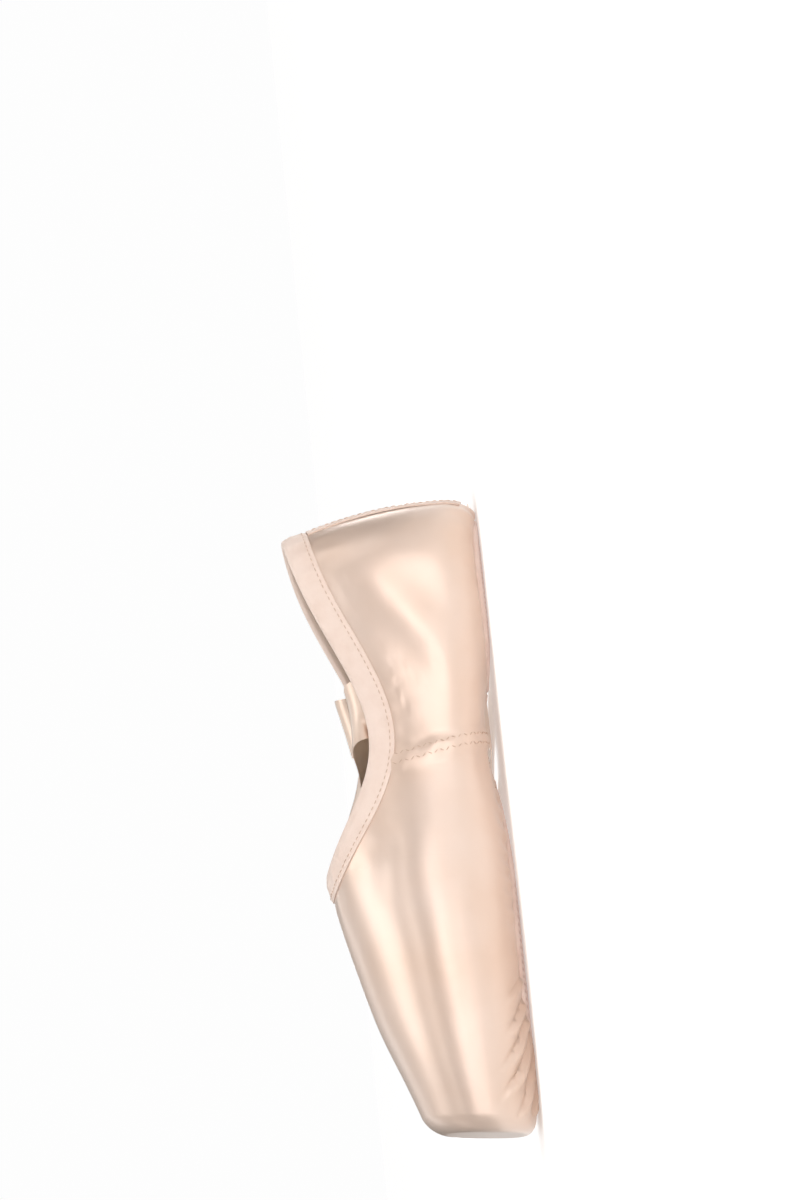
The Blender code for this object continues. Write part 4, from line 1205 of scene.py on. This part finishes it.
studio = {
    "floorSize": 24.0, "floor": (0.93, 0.925, 0.92), "floorPale": (0.94, 0.935, 0.93), "drop": 0.0001,
    "glowNear": 0.27, "glowFar": 0.58, "glowFrom": 0.30, "glowTo": 1.30,
    "horizon": 0.03, "zenith": 0.66, "backdrop": 0.985, "aim": (0, 0, 0.03),
}
lamps = {  # place, size, power and colour
    "key": ((0.00, 1.05, 0.85), (2.2, 0.22), 2.4, (1.0, 0.99, 0.985)),
    "low": ((0.10, 1.15, 0.09), (2.0, 0.15), 4.5, (1.0, 0.975, 0.985)),
    "heel": ((-1.20, 0.60, 0.45), (0.5, 0.5), 1.2, (1.0, 0.98, 0.97)),
    "farKey": ((0.00, -1.05, 0.85), (2.2, 0.22), 2.2, (1.0, 0.99, 0.985)),
    "farLow": ((-0.60, -1.15, 0.12), (1.3, 0.15), 2.8, (1.0, 0.98, 0.985)),
    "top": ((0.0, 0.25, 1.30), (1.5, 0.8), 6.6, (1.0, 0.99, 0.985)),
    "toe": ((1.20, -0.20, 0.50), (0.5, 0.5), 0.4, (1.0, 0.98, 0.97)),
}


def addSky():  # brighter overhead for the light, plain for the eye
    world = bpy.data.worlds.new("studioWorld")
    world.use_nodes = True
    tree = world.node_tree
    background = tree.nodes["Background"]
    background.inputs["Color"].default_value = (1, 1, 1, 1)
    split = addNode(
        tree, "ShaderNodeSeparateXYZ", Vector=tree.nodes.new("ShaderNodeTexCoord").outputs["Generated"]
    )
    lit = rangeOf(tree, split.outputs["Z"], studio["horizon"], studio["zenith"], 0.0, 1.0)
    tree.links.new(lit, background.inputs["Strength"])
    seen = addNode(tree, "ShaderNodeBackground", Color=(1, 1, 1, 1), Strength=studio["backdrop"])
    mix = tree.nodes.new("ShaderNodeMixShader")
    rays = tree.nodes.new("ShaderNodeLightPath")
    for k, out in enumerate((rays.outputs["Is Camera Ray"], background.outputs[0], seen.outputs[0])):
        tree.links.new(out, mix.inputs[k])
    tree.links.new(mix.outputs[0], tree.nodes["World Output"].inputs["Surface"])
    bpy.context.scene.world = world


def addFloor():
    half, low = studio["floorSize"] / 2, -studio["drop"]
    mesh = bpy.data.meshes.new("studioFloor")
    corners = [(-half, -half, low), (half, -half, low), (half, half, low), (-half, half, low)]
    mesh.from_pydata(corners, [], [(0, 1, 2, 3)])
    material, tree, shader = newMaterial(
        "studio floor", studio["floor"], 0.9, Specular_IOR_Level=0.0, Emission_Color=(1, 1, 1, 1)
    )
    far = addNode(tree, "ShaderNodeVectorMath", Vector=coordinates(tree, (1, 1, 1)))
    far.operation = "LENGTH"
    glow = rangeOf(tree, far.outputs["Value"], studio["glowNear"], studio["glowFar"],
                   studio["glowFrom"], studio["glowTo"])
    tree.links.new(glow, shader.inputs["Emission Strength"])
    faint = noise(tree, (40, 40, 40), 3)
    tone = colourRamp(tree, faint, (0.3, studio["floor"]), (0.7, studio["floorPale"]))
    tree.links.new(tone, shader.inputs["Base Color"])
    mesh.materials.append(material)
    addObject("studioFloor", mesh)


def addLamps():
    for name, (at, size, power, colour) in lamps.items():
        data = bpy.data.lights.new(name + "Light", "AREA")
        data.shape = "RECTANGLE"
        data.size, data.size_y = size
        data.energy, data.color = power, colour
        lamp = addObject(name + "Light", data)
        lamp.location = at
        lamp.rotation_euler = (Vector(studio["aim"]) - Vector(at)).to_track_quat("-Z", "Y").to_euler()
        lamp.visible_camera = False


addSky()
addFloor()
addLamps()
view = bpy.context.scene.view_settings
view.view_transform, view.look = "Standard", "None"
view.exposure, view.gamma = 0.0, 1.0
print("scene: floor, light and view set")
